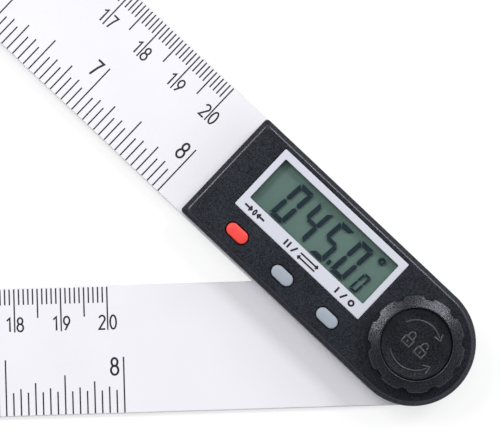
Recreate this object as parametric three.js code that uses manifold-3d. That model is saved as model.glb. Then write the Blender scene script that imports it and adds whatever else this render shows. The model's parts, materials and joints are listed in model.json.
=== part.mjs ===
// Angle finder with arms: two white ruler arms that turn on one pivot, a dark display housing
// on the upper arm, and a lock knob on the pivot's threaded stud.
// Lengths are millimetres and +Z points up. The origin is on the pivot axis at the underside
// of the lower arm, which lies along -X. Inside each arm's group x runs from the pivot axis
// towards the arm's tip, and y runs across the arm towards its inch edge.
import * as THREE from 'three';
import { mergeVertices } from 'three/addons/utils/BufferGeometryUtils.js';
import Module from 'manifold-3d';

const wasm = await Module();
wasm.setup();

// Arms, both of one outline, with the angle between them at rest
const armAngleDegrees = 45;
const armLength = 264.8;
const armBorder = 0.45;
const armThickness = 2;
const armTipRadius = 1;
const armEdgeChamfer = 0.25;

// Clearances that the pieces share
const runningClearance = 0.1;
const seatClearance = 0.15;
const screwClearance = 0.05;
const cutOverrun = 1;
const smallestRadius = 0.2;

// Pivot: bolt, bush, washer and the clip that keeps the knob on
const boltHeadOverhang = 3;
const boltHeadHeight = 1.1;
const boltNeckHeight = 2.5;
const boltShankRadius = 2.5;
const boltThreadPitch = 0.8;
const boltTipHeight = 0.2;
const hubShoulder = 0.5;
const hubSpigotWall = 1.5;
const hubSpigotHeight = 1;
const hubFlatDepth = 0.6;
const pivotWasherRadius = 10;
const pivotWasherThickness = 0.2;
const clipThickness = 0.4;
const clipGrooveDepth = 0.5;
const clipWall = 1.3;
const clipMouthWidth = 2.6;

// Angle encoder: a disc that turns with the lower arm under a ring fixed in the housing
const encoderBoardThickness = 0.8;
const encoderGap = 0.3;
const rotorLift = 0.6;
const rotorInset = 0.4;
const rotorWindowCount = 12;
const rotorWindowInset = 1.4;
const rotorWindowDepth = 2.4;
const rotorWindowShare = 0.5;
const statorEdgeGap = 0.4;
const statorBoreGap = 0.95;
const stakeInset = 2;
const stakeRadius = 1.2;
const stakePinRadius = 0.6;
const stakePinTip = 0.1;
const stakeAnglesDegrees = [60, 180, 300];
const ribbonThickness = 0.15;
const ribbonWidth = 6;
const ribbonLap = 2.2;
const ribbonClimbRun = 2.1;
const ribbonToScrewGap = 0.45;

// Battery and its coin-turned cover in the upper arm's back
const coinRadius = 10;
const coinHeight = 3.2;
const coinCapInset = 1.1;
const coinCapHeight = 0.3;
const coverFloor = 1;
const coverRingWall = 0.65;
const coverFlangeWidth = 1.15;
const coverTabReach = 0.85;
const coverTabHeight = 0.5;
const coverTabSweepDegrees = 30;
const coverTurnDegrees = 60;
const coverNotchSpareDegrees = 6;
const coverSlotLength = 13;
const coverSlotWidth = 1.8;
const coverSlotDepth = 0.5;
const coinPlay = 0.2;
const cradleWall = 1;
const cradleEdgeGap = 0.7;
const cradleMouthWidth = 6;
const contactSpace = 1;
const contactThickness = 0.2;
const contactWidth = 4;
const contactFootLength = 2.4;

// Housing shell
const housingWall = 1.5;
const housingRoof = 1.4;
const housingCornerRadius = 0.8;
const housingBevel = 1;
const housingEndMargin = 7.35;
const housingFloorChamfer = 0.2;
const postRadius = 2.1;
const postEdgeInset = 3.3;
const postHeadroom = 0.3;
const hubPlateThickness = 1.4;
const hubPlateMargin = 2;
const guideTubeWall = 1.25;
const guideTubeGap = 0.2;

// Display: bezel with its label strip, lens, liquid crystal glass and what carries it
const windowLength = 32.8;
const windowWidth = 11.1;
const bezelEndMargin = 1.5;
const bezelTopMargin = 1.65;
const bezelLabelStrip = 3.15;
const bezelThickness = 0.7;
const bezelSink = 0.1;
const bezelCornerRadius = 0.3;
const bezelEdgeChamfer = 0.15;
const windowCornerRadius = 0.3;
const knobToBezelGap = 1.7;
const lensOverlap = 0.7;
const glassOverlap = 1.1;
const glassThickness = 1.4;
const glassHeadroom = 0.1;
const reflectorThickness = 0.2;
const displayFrameHeight = 3;
const displayFrameWall = 0.7;
const displayFrameGap = 0.2;
const zebraWidth = 0.8;
const zebraEndInset = 1;

// Circuit board and what is fixed to it
const boardThickness = 0.8;
const boardEdgeGap = 0.4;
const boardFrameMargin = 0.2;
const boardBossRadius = 1.6;
const boardBossGap = 0.9;
const boardBossInset = 0.1;
const chipRadius = 3.2;
const chipHeight = 0.8;
const chipToRibbonGap = 0.5;
const switchLength = 4.2;
const switchWidth = 3.4;
const switchHeight = 0.8;
const plungerRadius = 0.9;
const plungerHeight = 0.3;

// Buttons
const buttonNames = ['power_button', 'hold_button', 'zero_button'];
const switchNames = ['power_switch', 'hold_switch', 'zero_switch'];
const buttonEndInset = 3.4;
const buttonRowShift = 0.15;
const buttonRowGap = 4.2;
const buttonRowMargin = 4.7;
const buttonLength = 5.3;
const buttonWidth = 2.8;
const buttonRise = 0.5;
const buttonEdgeRadius = 0.35;
const buttonFlange = 0.6;
const buttonFlangeThickness = 0.6;
const buttonTravel = 0.5;
const buttonStemRadius = 1;

// Screws
const housingScrewHeadRadius = 2;
const housingScrewHeadHeight = 0.9;
const housingScrewShankRadius = 1;
const housingScrewSink = 0.1;
const housingScrewTipGap = 0.5;
const boardScrewHeadRadius = 1.5;
const boardScrewHeadHeight = 0.8;
const boardScrewShankRadius = 0.8;
const boardScrewDepth = 2;
const driveSlotShare = 1.4;
const driveSlotWidthShare = 0.3;
const driveSlotDepthShare = 0.5;

// Clamp under the knob, and the knob with its nut and cap
const clampWasherRadius = 7.2;
const clampWasherThickness = 0.8;
const clampBoreClearance = 0.3;
const clampRecessClearance = 0.3;
const springWasherInset = 0.7;
const springWasherHeight = 0.8;
const springWasherThickness = 0.35;
const knobLift = 0.3;
const knobRadius = 10.2;
const knobBottomChamfer = 0.3;
const knobSideHeight = 5.1;
const knobShoulderWidth = 2.3;
const knobRimWidth = 0.3;
const knobRecessDepth = 1;
const knobFluteCount = 10;
const knobFluteDepth = 0.6;
const knobFluteFloor = 1.4;
const knobFluteMouth = 2.5;
const knobCapThickness = 0.7;
const knobCapHeadroom = 0.3;
const nutWall = 1.5;
const nutHeight = 2.3;
const nutShelf = 0.2;

// How finely the round shapes are stepped
const roundSteps = 40;
const smallRoundSteps = 16;
const cornerSteps = 4;
const endSteps = 24;
const shoulderSteps = 5;
const sectorSteps = 4;
const hexSides = 6;

// Heights, from the table up
const upperArmBottom = armThickness + pivotWasherThickness + runningClearance;
const upperArmTop = upperArmBottom + armThickness;
const rotorBottom = upperArmTop + rotorLift;
const rotorTop = rotorBottom + encoderBoardThickness;
const statorBottom = rotorTop + encoderGap;
const statorTop = statorBottom + encoderBoardThickness;
const hubTop = rotorBottom + hubSpigotHeight;
const coinBottom = upperArmBottom + coverFloor + runningClearance;
const coinTop = coinBottom + coinHeight;
const boardBottom = coinTop + contactSpace;
const boardTop = boardBottom + boardThickness;
const ceiling = boardTop + displayFrameHeight;
const housingTop = ceiling + housingRoof;
const clampBottom = ceiling;
const springWasherBottom = clampBottom + clampWasherThickness;
const nutBottom = springWasherBottom + springWasherHeight;
const nutTop = nutBottom + nutHeight;
const knobBottom = housingTop + knobLift;
const clipBottom = nutTop + boltThreadPitch + runningClearance;
const clipTop = clipBottom + clipThickness;
const boltTop = clipTop + runningClearance + boltTipHeight;
const capBottom = boltTop + knobCapHeadroom;
const capTop = capBottom + knobCapThickness;
const knobTop = capTop + knobRecessDepth;

// The display's frame stands just clear of the housing's wall. The housing is as wide as the
// display and the button row need, or as the coin cell needs, and the arms show a narrow border
// beside it.
const cradleInner = coinRadius + coinPlay;
const cradleOuter = cradleInner + cradleWall;
const displayFrameOverlap = glassOverlap + seatClearance + displayFrameWall;
const bezelSideInset = housingWall + displayFrameGap + displayFrameOverlap - bezelTopMargin;
const bezelWidth = bezelTopMargin + windowWidth + bezelLabelStrip;
const widthForDisplay = bezelSideInset + bezelWidth + buttonRowGap + buttonRowMargin;
const widthForBattery = 2 * (cradleOuter + cradleEdgeGap + housingWall);
const housingWidth = Math.max(widthForDisplay, widthForBattery);
const armWidth = housingWidth + 2 * armBorder;

// Round pieces about the pivot
const boltHeadRadius = boltShankRadius + boltHeadOverhang;
const boltNeckWidth = 2 * boltShankRadius;
const hubSpigotRadius = boltShankRadius + hubSpigotWall;
const hubBushRadius = hubSpigotRadius + hubShoulder;
const hubFlatWidth = 2 * (hubSpigotRadius - hubFlatDepth);
const nutWidth = 2 * (boltShankRadius + nutWall);
const guideTubeRadius = boltShankRadius + clampBoreClearance + guideTubeWall;
const statorRadius = housingWidth / 2 - housingWall - statorEdgeGap;
const statorBoreRadius = guideTubeRadius + statorBoreGap;
const stakeCircleRadius = statorRadius - stakeInset;
const rotorRadius = statorRadius - rotorInset;
const rotorWindowOuter = rotorRadius - rotorWindowInset;
const rotorWindowInner = rotorWindowOuter - rotorWindowDepth;
const knobRecessRadius = knobRadius - knobShoulderWidth - knobRimWidth;
const springWasherRadius = clampWasherRadius - springWasherInset;

// Places along and across the upper arm
const bezelStart = knobRadius + knobToBezelGap;
const bezelLength = windowLength + 2 * bezelEndMargin;
const displayX = bezelStart + bezelLength / 2;
const bezelTopEdge = bezelSideInset - housingWidth / 2;
const bezelY = bezelTopEdge + bezelWidth / 2;
const windowY = bezelTopEdge + bezelTopMargin + windowWidth / 2;
const housingLength = bezelStart + bezelLength + housingEndMargin;
const buttonPitch = windowLength / 2 - buttonEndInset;
const glassLength = windowLength + 2 * glassOverlap;
const glassWidth = windowWidth + 2 * glassOverlap;
const displayFrameLength = glassLength + 2 * (seatClearance + displayFrameWall);
const displayFrameWidth = glassWidth + 2 * (seatClearance + displayFrameWall);
const displayFrameStart = displayX - displayFrameLength / 2;
const displayFrameEnd = displayX + displayFrameLength / 2;
const displayFrameLowerEdge = windowY + displayFrameWidth / 2;
const buttonRowY = bezelTopEdge + bezelWidth + buttonRowGap;
const buttonRowX = displayX + buttonRowShift;
const buttonPlaces = [-1, 0, 1].map((step) => buttonRowX + step * buttonPitch);
const postY = housingWidth / 2 - postEdgeInset;
const nearPostX = buttonRowX - buttonPitch / 2;
const farPostX = housingLength - postEdgeInset;
const postPlaces = [[nearPostX, -postY], [nearPostX, postY], [farPostX, -postY], [farPostX, postY]];
const coverRingOuter = cradleInner + coverRingWall;
const coverRadius = coverRingOuter + coverFlangeWidth;
const farBossX = displayFrameEnd + boardBossGap + boardBossRadius;
const batteryX = farBossX - boardBossRadius - boardBossGap - cradleOuter + coinPlay;
const boardStart = displayFrameStart - boardFrameMargin;
const nearBossX = boardStart + boardBossInset + boardBossRadius;
const nearBossY = displayFrameLowerEdge + postHeadroom + boardBossRadius;
const bossPlaces = [[nearBossX, nearBossY], [farBossX, 0]];
const ribbonY = nearBossY - boardScrewHeadRadius - ribbonToScrewGap - ribbonWidth / 2;
const boardEnd = housingLength - housingWall - boardEdgeGap;
const boardHalfWidth = housingWidth / 2 - housingWall - boardEdgeGap;
const clampRecessRadius = clampWasherRadius + clampRecessClearance;
const postHeight = boardBottom - postHeadroom - upperArmTop;
const socketWidth = boltNeckWidth + 2 * runningClearance;

// Finishes
const finish = (color, roughness, metalness = 0) => ({ color, roughness, metalness });
const whitePlastic = finish(0xf2f1f6, 0.35);
const darkPlastic = finish(0x2d2e33, 0.62);
const knobPlastic = finish(0x28292d, 0.58);
const bezelSilver = finish(0xdcdfeb, 0.42);
const clearPlastic = { ...finish(0xffffff, 0.05), transparent: true, opacity: 0.25 };
const reflectorFilm = finish(0x6f8c7c, 0.7);
const framePlastic = finish(0x3a3c40, 0.6);
const contactRubber = finish(0x8d8f96, 0.8);
const boardGreen = finish(0x1d6a44, 0.5);
const chipEpoxy = finish(0x101114, 0.35);
const switchBlack = finish(0x1b1c1f, 0.5);
const redPlastic = finish(0xf84c47, 0.45);
const greyPlastic = finish(0xa2adb5, 0.45);
const brightSteel = finish(0xbfc2c6, 0.28, 1);
const springSteel = finish(0x9b9ea3, 0.35, 1);
const brass = finish(0xc9a24f, 0.32, 1);
const nylon = finish(0xe6e4dc, 0.55);
const ribbonFilm = finish(0xc98a3c, 0.5);

// A closed mesh becomes a solid once its shared vertices are merged.
function toSolid(geometry) {
  const bare = geometry.clone();
  bare.deleteAttribute('normal');
  bare.deleteAttribute('uv');
  const merged = mergeVertices(bare);
  const corners = [];
  for (let i = 0; i < merged.index.count; i += 3) {
    const [a, b, c] = [0, 1, 2].map((k) => merged.index.getX(i + k));
    if (a !== b && b !== c && c !== a) {
      corners.push(a, b, c);
    }
  }
  const mesh = new wasm.Mesh({
    numProp: 3,
    vertProperties: new Float32Array(merged.attributes.position.array),
    triVerts: new Uint32Array(corners),
  });
  return new wasm.Manifold(mesh);
}

function toGeometry(solid) {
  const mesh = solid.getMesh();
  const geometry = new THREE.BufferGeometry();
  geometry.setAttribute('position', new THREE.BufferAttribute(mesh.vertProperties, 3));
  geometry.setIndex(new THREE.BufferAttribute(mesh.triVerts, 1));
  geometry.computeVertexNormals();
  return geometry;
}

// Basic solids stand on z = 0 unless they are moved.
function disc(radius, height, steps = roundSteps) {
  const geometry = new THREE.CylinderGeometry(radius, radius, height, steps);
  return toSolid(geometry.rotateX(Math.PI / 2).translate(0, 0, height / 2));
}

function block(length, width, height) {
  return toSolid(new THREE.BoxGeometry(length, width, height).translate(0, 0, height / 2));
}

function ring(outerRadius, innerRadius, height, steps = roundSteps) {
  const bore = disc(innerRadius, height + 2 * cutOverrun, steps);
  return disc(outerRadius, height, steps).subtract(bore.translate([0, 0, -cutOverrun]));
}

// A profile of [radius, height] points, from the bottom of the axis to its top.
function turned(profile, steps = roundSteps) {
  const points = profile.map(([radius, height]) => new THREE.Vector2(radius, height));
  return toSolid(new THREE.LatheGeometry(points, steps).rotateX(Math.PI / 2));
}

function extruded(points, height) {
  const shape = new THREE.Shape(points);
  return toSolid(new THREE.ExtrudeGeometry(shape, { depth: height, bevelEnabled: false }));
}

// A strip's side view, drawn as [x, z] points, widened to both sides of y = 0.
function sideView(points, width) {
  const flat = points.map(([x, z]) => new THREE.Vector2(x, z));
  const shape = new THREE.Shape(flat);
  const geometry = new THREE.ExtrudeGeometry(shape, { depth: width, bevelEnabled: false });
  return toSolid(geometry.rotateX(Math.PI / 2).translate(0, width / 2, 0));
}

// Points of an arc, both ends included, in degrees counter-clockwise.
function arc(x, y, radius, from, to, steps) {
  const points = [];
  for (let i = 0; i <= steps; i += 1) {
    const angle = THREE.MathUtils.degToRad(from + ((to - from) * i) / steps);
    points.push(new THREE.Vector2(x + radius * Math.cos(angle), y + radius * Math.sin(angle)));
  }
  return points;
}

// The arm and housing outline: round about the pivot, square at the far end.
function roundEndOutline(length, width, cornerRadius, inset) {
  const end = length - inset;
  const half = width / 2 - inset;
  const corner = Math.max(cornerRadius - inset, smallestRadius);
  return [
    ...arc(end - corner, corner - half, corner, -90, 0, cornerSteps),
    ...arc(end - corner, half - corner, corner, 0, 90, cornerSteps),
    ...arc(0, 0, half, 90, 270, endSteps),
  ];
}

function roundedRectangle(length, width, cornerRadius, inset = 0) {
  const x = length / 2 - inset;
  const y = width / 2 - inset;
  const corner = Math.max(cornerRadius - inset, smallestRadius);
  return [
    ...arc(x - corner, corner - y, corner, -90, 0, cornerSteps),
    ...arc(x - corner, y - corner, corner, 0, 90, cornerSteps),
    ...arc(corner - x, y - corner, corner, 90, 180, cornerSteps),
    ...arc(corner - x, corner - y, corner, 180, 270, cornerSteps),
  ];
}

function obround(length, width, inset = 0) {
  const radius = width / 2 - inset;
  const reach = (length - width) / 2;
  return [
    ...arc(reach, 0, radius, -90, 90, cornerSteps * 2),
    ...arc(-reach, 0, radius, 90, 270, cornerSteps * 2),
  ];
}

// A solid through outlines of equal point count, one at each [height, outline] level.
function lofted(levels) {
  const count = levels[0][1].length;
  const positions = levels.flatMap(([z, outline]) => outline.flatMap((p) => [p.x, p.y, z]));
  const faces = [];
  for (let level = 0; level + 1 < levels.length; level += 1) {
    const low = level * count;
    const high = low + count;
    for (let i = 0; i < count; i += 1) {
      const next = (i + 1) % count;
      faces.push(low + i, low + next, high + next, low + i, high + next, high + i);
    }
  }
  const cap = THREE.ShapeUtils.triangulateShape([...levels[0][1]], []);
  const top = (levels.length - 1) * count;
  for (const [a, b, c] of cap) {
    faces.push(a, c, b, top + a, top + b, top + c);
  }
  const geometry = new THREE.BufferGeometry();
  geometry.setAttribute('position', new THREE.Float32BufferAttribute(positions, 3));
  geometry.setIndex(faces);
  return toSolid(geometry);
}

// A piece of a ring, centred on the direction given in degrees.
function ringSector(innerRadius, outerRadius, height, centre, sweep) {
  const from = centre - sweep / 2;
  const to = centre + sweep / 2;
  const outer = arc(0, 0, outerRadius, from, to, sectorSteps);
  const inner = arc(0, 0, innerRadius, to, from, sectorSteps);
  return extruded([...outer, ...inner], height);
}

// A pan-head screw, head down, with a cross in its head.
function screw(headRadius, headHeight, shankRadius, shankLength) {
  const body = turned([
    [0, 0],
    [headRadius, 0],
    [headRadius, headHeight],
    [shankRadius, headHeight],
    [shankRadius, headHeight + shankLength],
    [0, headHeight + shankLength],
  ], smallRoundSteps);
  const slotLength = headRadius * driveSlotShare;
  const slotWidth = headRadius * driveSlotWidthShare;
  const slotDepth = headHeight * driveSlotDepthShare;
  const slot = block(slotLength, slotWidth, slotDepth + cutOverrun).translate([0, 0, -cutOverrun]);
  return body.subtract(slot).subtract(slot.rotate([0, 0, 90]));
}

// Adds one named mesh to a group.
function addPiece(group, name, solid, look, x, y, z) {
  const mesh = new THREE.Mesh(toGeometry(solid), new THREE.MeshStandardMaterial(look));
  mesh.name = name;
  mesh.position.set(x, y, z);
  group.add(mesh);
}

// Both arms start as the same chamfered blank.
function armBlank() {
  const outline = (inset) => roundEndOutline(armLength, armWidth, armTipRadius, inset);
  return lofted([
    [0, outline(armEdgeChamfer)],
    [armEdgeChamfer, outline(0)],
    [armThickness - armEdgeChamfer, outline(0)],
    [armThickness, outline(armEdgeChamfer)],
  ]);
}

function lowerRuler() {
  const headPocket = disc(boltHeadRadius + seatClearance, boltHeadHeight + cutOverrun);
  const neckHole = block(socketWidth, socketWidth, armThickness + 2 * cutOverrun);
  return armBlank()
    .subtract(headPocket.translate([0, 0, -cutOverrun]))
    .subtract(neckHole.translate([0, 0, -cutOverrun]));
}

// The upper arm has the bearing hole, the screw holes and the battery opening, whose ledge is
// notched where the cover's tabs go in.
function upperRuler() {
  let ruler = armBlank();
  const through = armThickness + 2 * cutOverrun;
  ruler = ruler.subtract(disc(hubBushRadius + runningClearance, through).translate([0, 0, -cutOverrun]));
  const headSink = housingScrewSink + housingScrewHeadHeight;
  for (const [x, y] of postPlaces) {
    const shank = disc(housingScrewShankRadius + seatClearance, through, smallRoundSteps);
    const head = disc(housingScrewHeadRadius + seatClearance, headSink + cutOverrun, smallRoundSteps);
    ruler = ruler.subtract(shank.translate([x, y, -cutOverrun]));
    ruler = ruler.subtract(head.translate([x, y, -cutOverrun]));
  }
  const flangePocket = disc(coverRadius + seatClearance, coverFloor + runningClearance + cutOverrun);
  let opening = disc(coverRingOuter + seatClearance, through);
  for (const turn of [0, 180]) {
    const notch = ringSector(
      coinRadius,
      coverRingOuter + coverTabReach + seatClearance,
      through,
      turn - coverTurnDegrees,
      coverTabSweepDegrees + coverNotchSpareDegrees,
    );
    opening = opening.add(notch);
  }
  ruler = ruler.subtract(flangePocket.translate([batteryX, 0, -cutOverrun]));
  return ruler.subtract(opening.translate([batteryX, 0, -cutOverrun]));
}

// Bolt: flat head in the lower arm's back, square neck, then the stud that carries the knob.
function pivotBolt() {
  const shank = turned([
    [0, 0],
    [boltHeadRadius, 0],
    [boltHeadRadius, boltHeadHeight],
    [boltShankRadius, boltHeadHeight],
    [boltShankRadius, clipBottom],
    [boltShankRadius - clipGrooveDepth, clipBottom],
    [boltShankRadius - clipGrooveDepth, clipTop + runningClearance],
    [boltShankRadius, clipTop + runningClearance],
    [boltShankRadius, boltTop],
    [0, boltTop],
  ]);
  const neck = block(boltNeckWidth, boltNeckWidth, boltNeckHeight + boltHeadHeight / 2);
  return shank.add(neck.translate([0, 0, boltHeadHeight / 2]));
}

// The bush is the bearing of the upper arm, and its flatted spigot drives the encoder disc.
function hubBush() {
  const height = hubTop - armThickness;
  const shoulder = rotorBottom - armThickness;
  const neckInBush = boltHeadHeight + boltNeckHeight - armThickness + runningClearance;
  const spigotHeight = shoulder / 2 + hubSpigotHeight;
  const flats = block(2 * hubSpigotRadius, hubFlatWidth, spigotHeight);
  const spigot = disc(hubSpigotRadius, spigotHeight).intersect(flats);
  const bore = disc(boltShankRadius + runningClearance, height + 2 * cutOverrun);
  const socket = block(socketWidth, socketWidth, neckInBush + cutOverrun);
  return disc(hubBushRadius, shoulder)
    .add(spigot.translate([0, 0, shoulder / 2]))
    .subtract(bore.translate([0, 0, -cutOverrun]))
    .subtract(socket.translate([0, 0, -cutOverrun]));
}

function encoderRotor() {
  const height = encoderBoardThickness + 2 * cutOverrun;
  const boreRadius = hubSpigotRadius + runningClearance;
  const flats = block(2 * boreRadius, hubFlatWidth + 2 * runningClearance, height);
  const bore = disc(boreRadius, height).intersect(flats);
  let rotor = disc(rotorRadius, encoderBoardThickness).subtract(bore.translate([0, 0, -cutOverrun]));
  const windowStep = 360 / rotorWindowCount;
  for (let i = 0; i < rotorWindowCount; i += 1) {
    const sweep = windowStep * rotorWindowShare;
    const window = ringSector(rotorWindowInner, rotorWindowOuter, height, i * windowStep, sweep);
    rotor = rotor.subtract(window.translate([0, 0, -cutOverrun]));
  }
  return rotor;
}

function stakePlaces() {
  return stakeAnglesDegrees.map((angle) => {
    const turn = THREE.MathUtils.degToRad(angle);
    return [stakeCircleRadius * Math.cos(turn), stakeCircleRadius * Math.sin(turn)];
  });
}

function encoderStator() {
  let stator = ring(statorRadius, statorBoreRadius, encoderBoardThickness);
  for (const [x, y] of stakePlaces()) {
    const height = encoderBoardThickness + 2 * cutOverrun;
    const hole = disc(stakePinRadius + seatClearance, height, smallRoundSteps);
    stator = stator.subtract(hole.translate([x, y, -cutOverrun]));
  }
  return stator;
}

// The ribbon lies on the encoder ring, climbs, and lies under the circuit board.
function ribbonCable() {
  const climb = boardBottom - statorTop - ribbonThickness;
  const start = statorRadius - ribbonLap;
  const foot = statorRadius - ribbonLap / 2;
  const bend = foot + ribbonClimbRun;
  const end = bend + ribbonLap;
  return sideView([
    [start, 0],
    [foot, 0],
    [bend, climb],
    [end, climb],
    [end, climb + ribbonThickness],
    [bend, climb + ribbonThickness],
    [foot, ribbonThickness],
    [start, ribbonThickness],
  ], ribbonWidth);
}

// The clip is a ring with a mouth, pushed into the stud's groove.
function retainingClip() {
  const inner = boltShankRadius - clipGrooveDepth + runningClearance;
  const outer = inner + clipWall;
  const mouth = block(outer + cutOverrun, clipMouthWidth, clipThickness + 2 * cutOverrun);
  const mouthPlace = [(outer + cutOverrun) / 2, 0, -cutOverrun];
  return ring(outer, inner, clipThickness, smallRoundSteps).subtract(mouth.translate(mouthPlace));
}

// Shell: bevelled outside, open below, with a roof that the display, buttons and stud pass.
function housingShell() {
  const outline = (inset) => roundEndOutline(housingLength, housingWidth, housingCornerRadius, inset);
  const height = housingTop - upperArmTop;
  const inside = ceiling - upperArmTop;
  const outside = lofted([
    [0, outline(housingFloorChamfer)],
    [housingFloorChamfer, outline(0)],
    [height - housingBevel, outline(0)],
    [height, outline(housingBevel)],
  ]);
  const cavity = lofted([[-cutOverrun, outline(housingWall)], [inside, outline(housingWall)]]);
  let shell = outside.subtract(cavity);
  shell = shell.add(housingPosts(inside)).subtract(housingPilotHoles(inside));
  return shell.subtract(housingRoofCuts(inside, height));
}

// What hangs inside the shell: screw posts at the walls, board bosses, the plate and guide tube
// under the clamp, and the stakes that hold the encoder ring.
function housingPosts(inside) {
  const cutLevel = (z) => z - upperArmTop;
  const tubeBottom = cutLevel(hubTop) + guideTubeGap;
  const roofOverlap = housingRoof / 2;
  const plateBottom = inside - hubPlateThickness;
  let posts = disc(guideTubeRadius, inside - tubeBottom + roofOverlap).translate([0, 0, tubeBottom]);
  const plate = disc(clampRecessRadius + hubPlateMargin, hubPlateThickness + roofOverlap);
  posts = posts.add(plate.translate([0, 0, plateBottom]));
  for (const [x, y] of postPlaces) {
    posts = posts.add(screwPost(x, y));
  }
  for (const [x, y] of bossPlaces) {
    const bottom = cutLevel(boardTop);
    const boss = disc(boardBossRadius, inside - bottom + roofOverlap, smallRoundSteps);
    posts = posts.add(boss.translate([x, y, bottom]));
  }
  for (const [x, y] of stakePlaces()) {
    const stakeBottom = cutLevel(statorTop);
    const pinBottom = cutLevel(statorBottom) - stakePinTip;
    const stake = disc(stakeRadius, inside - stakeBottom + roofOverlap, smallRoundSteps);
    const pin = disc(stakePinRadius, inside - pinBottom, smallRoundSteps);
    posts = posts.add(stake.translate([x, y, stakeBottom])).add(pin.translate([x, y, pinBottom]));
  }
  return posts;
}

// A screw post with a web that joins it to the side wall and, at the far end, fills the corner.
function screwPost(x, y) {
  const wallY = (housingWidth - housingWall) / 2;
  const webStart = x - postRadius;
  const webEnd = x === farPostX ? housingLength - housingWall / 2 : x + postRadius;
  const webReach = wallY - Math.abs(y);
  const web = block(webEnd - webStart, webReach, postHeight);
  const webPlace = [(webStart + webEnd) / 2, Math.sign(y) * (wallY - webReach / 2), 0];
  const post = disc(postRadius, postHeight, smallRoundSteps).translate([x, y, 0]);
  return post.add(web.translate(webPlace));
}

function housingPilotHoles(inside) {
  let holes = disc(boltShankRadius + clampBoreClearance, inside + housingRoof + 2 * cutOverrun);
  holes = holes.translate([0, 0, -cutOverrun]);
  for (const [x, y] of postPlaces) {
    const depth = postHeight - housingScrewTipGap / 2;
    const hole = disc(housingScrewShankRadius + screwClearance, depth + cutOverrun, smallRoundSteps);
    holes = holes.add(hole.translate([x, y, -cutOverrun]));
  }
  for (const [x, y] of bossPlaces) {
    const bottom = boardTop - upperArmTop - cutOverrun;
    const depth = boardScrewDepth + screwClearance + cutOverrun;
    const hole = disc(boardScrewShankRadius + screwClearance, depth, smallRoundSteps);
    holes = holes.add(hole.translate([x, y, bottom]));
  }
  return holes;
}

function housingRoofCuts(inside, height) {
  const bezelSeat = height - bezelSink - bezelThickness;
  const seat = roundedRectangle(
    bezelLength + 2 * seatClearance,
    bezelWidth + 2 * seatClearance,
    bezelCornerRadius + seatClearance,
  );
  const opening = roundedRectangle(
    windowLength + 2 * (lensOverlap + seatClearance),
    windowWidth + 2 * (lensOverlap + seatClearance),
    bezelCornerRadius,
  );
  const clampRecess = disc(clampRecessRadius, housingRoof + cutOverrun);
  let cuts = extruded(seat, height - bezelSeat + cutOverrun).translate([displayX, bezelY, bezelSeat]);
  const lensHole = extruded(opening, housingRoof + 2 * cutOverrun);
  cuts = cuts.add(lensHole.translate([displayX, windowY, inside - cutOverrun]));
  cuts = cuts.add(clampRecess.translate([0, 0, inside]));
  for (const x of buttonPlaces) {
    const hole = obround(buttonLength + 2 * seatClearance, buttonWidth + 2 * seatClearance);
    const cut = extruded(hole, housingRoof + 2 * cutOverrun);
    cuts = cuts.add(cut.translate([x, buttonRowY, inside - cutOverrun]));
  }
  return cuts;
}

// The bezel is a frame whose wide lower strip carries the button labels.
function displayBezel() {
  const outline = (inset) => roundedRectangle(bezelLength, bezelWidth, bezelCornerRadius, inset);
  const plate = lofted([
    [0, outline(0)],
    [bezelThickness - bezelEdgeChamfer, outline(0)],
    [bezelThickness, outline(bezelEdgeChamfer)],
  ]);
  const window = extruded(
    roundedRectangle(windowLength, windowWidth, windowCornerRadius),
    bezelThickness + 2 * cutOverrun,
  );
  return plate.subtract(window.translate([0, windowY - bezelY, -cutOverrun]));
}

function displayLens() {
  const lens = roundedRectangle(
    windowLength + 2 * lensOverlap,
    windowWidth + 2 * lensOverlap,
    bezelCornerRadius - seatClearance,
  );
  return extruded(lens, housingRoof - bezelSink - bezelThickness);
}

// The frame stands on the board round the glass, up to the roof.
function displayFrame() {
  const openingLength = glassLength + 2 * seatClearance;
  const openingWidth = glassWidth + 2 * seatClearance;
  const opening = block(openingLength, openingWidth, displayFrameHeight + 2 * cutOverrun);
  return block(displayFrameLength, displayFrameWidth, displayFrameHeight)
    .subtract(opening.translate([0, 0, -cutOverrun]));
}

function circuitBoard() {
  const length = boardEnd - boardStart;
  let board = block(length, 2 * boardHalfWidth, boardThickness).translate([length / 2, 0, 0]);
  for (const [x, y] of bossPlaces) {
    const height = boardThickness + 2 * cutOverrun;
    const hole = disc(boardScrewShankRadius + seatClearance, height, smallRoundSteps);
    board = board.subtract(hole.translate([x - boardStart, y, -cutOverrun]));
  }
  return board;
}

// The blob of resin over the chip bulges down from the board.
function chipBlob() {
  const profile = [[0, 0]];
  for (let i = 1; i <= shoulderSteps; i += 1) {
    const turn = (Math.PI / 2) * (i / shoulderSteps);
    profile.push([chipRadius * Math.sin(turn), chipHeight * (1 - Math.cos(turn))]);
  }
  profile.push([0, chipHeight]);
  return turned(profile, smallRoundSteps);
}

function buttonSwitch() {
  const plunger = disc(plungerRadius, switchHeight + plungerHeight, smallRoundSteps);
  return block(switchLength, switchWidth, switchHeight).add(plunger);
}

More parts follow.
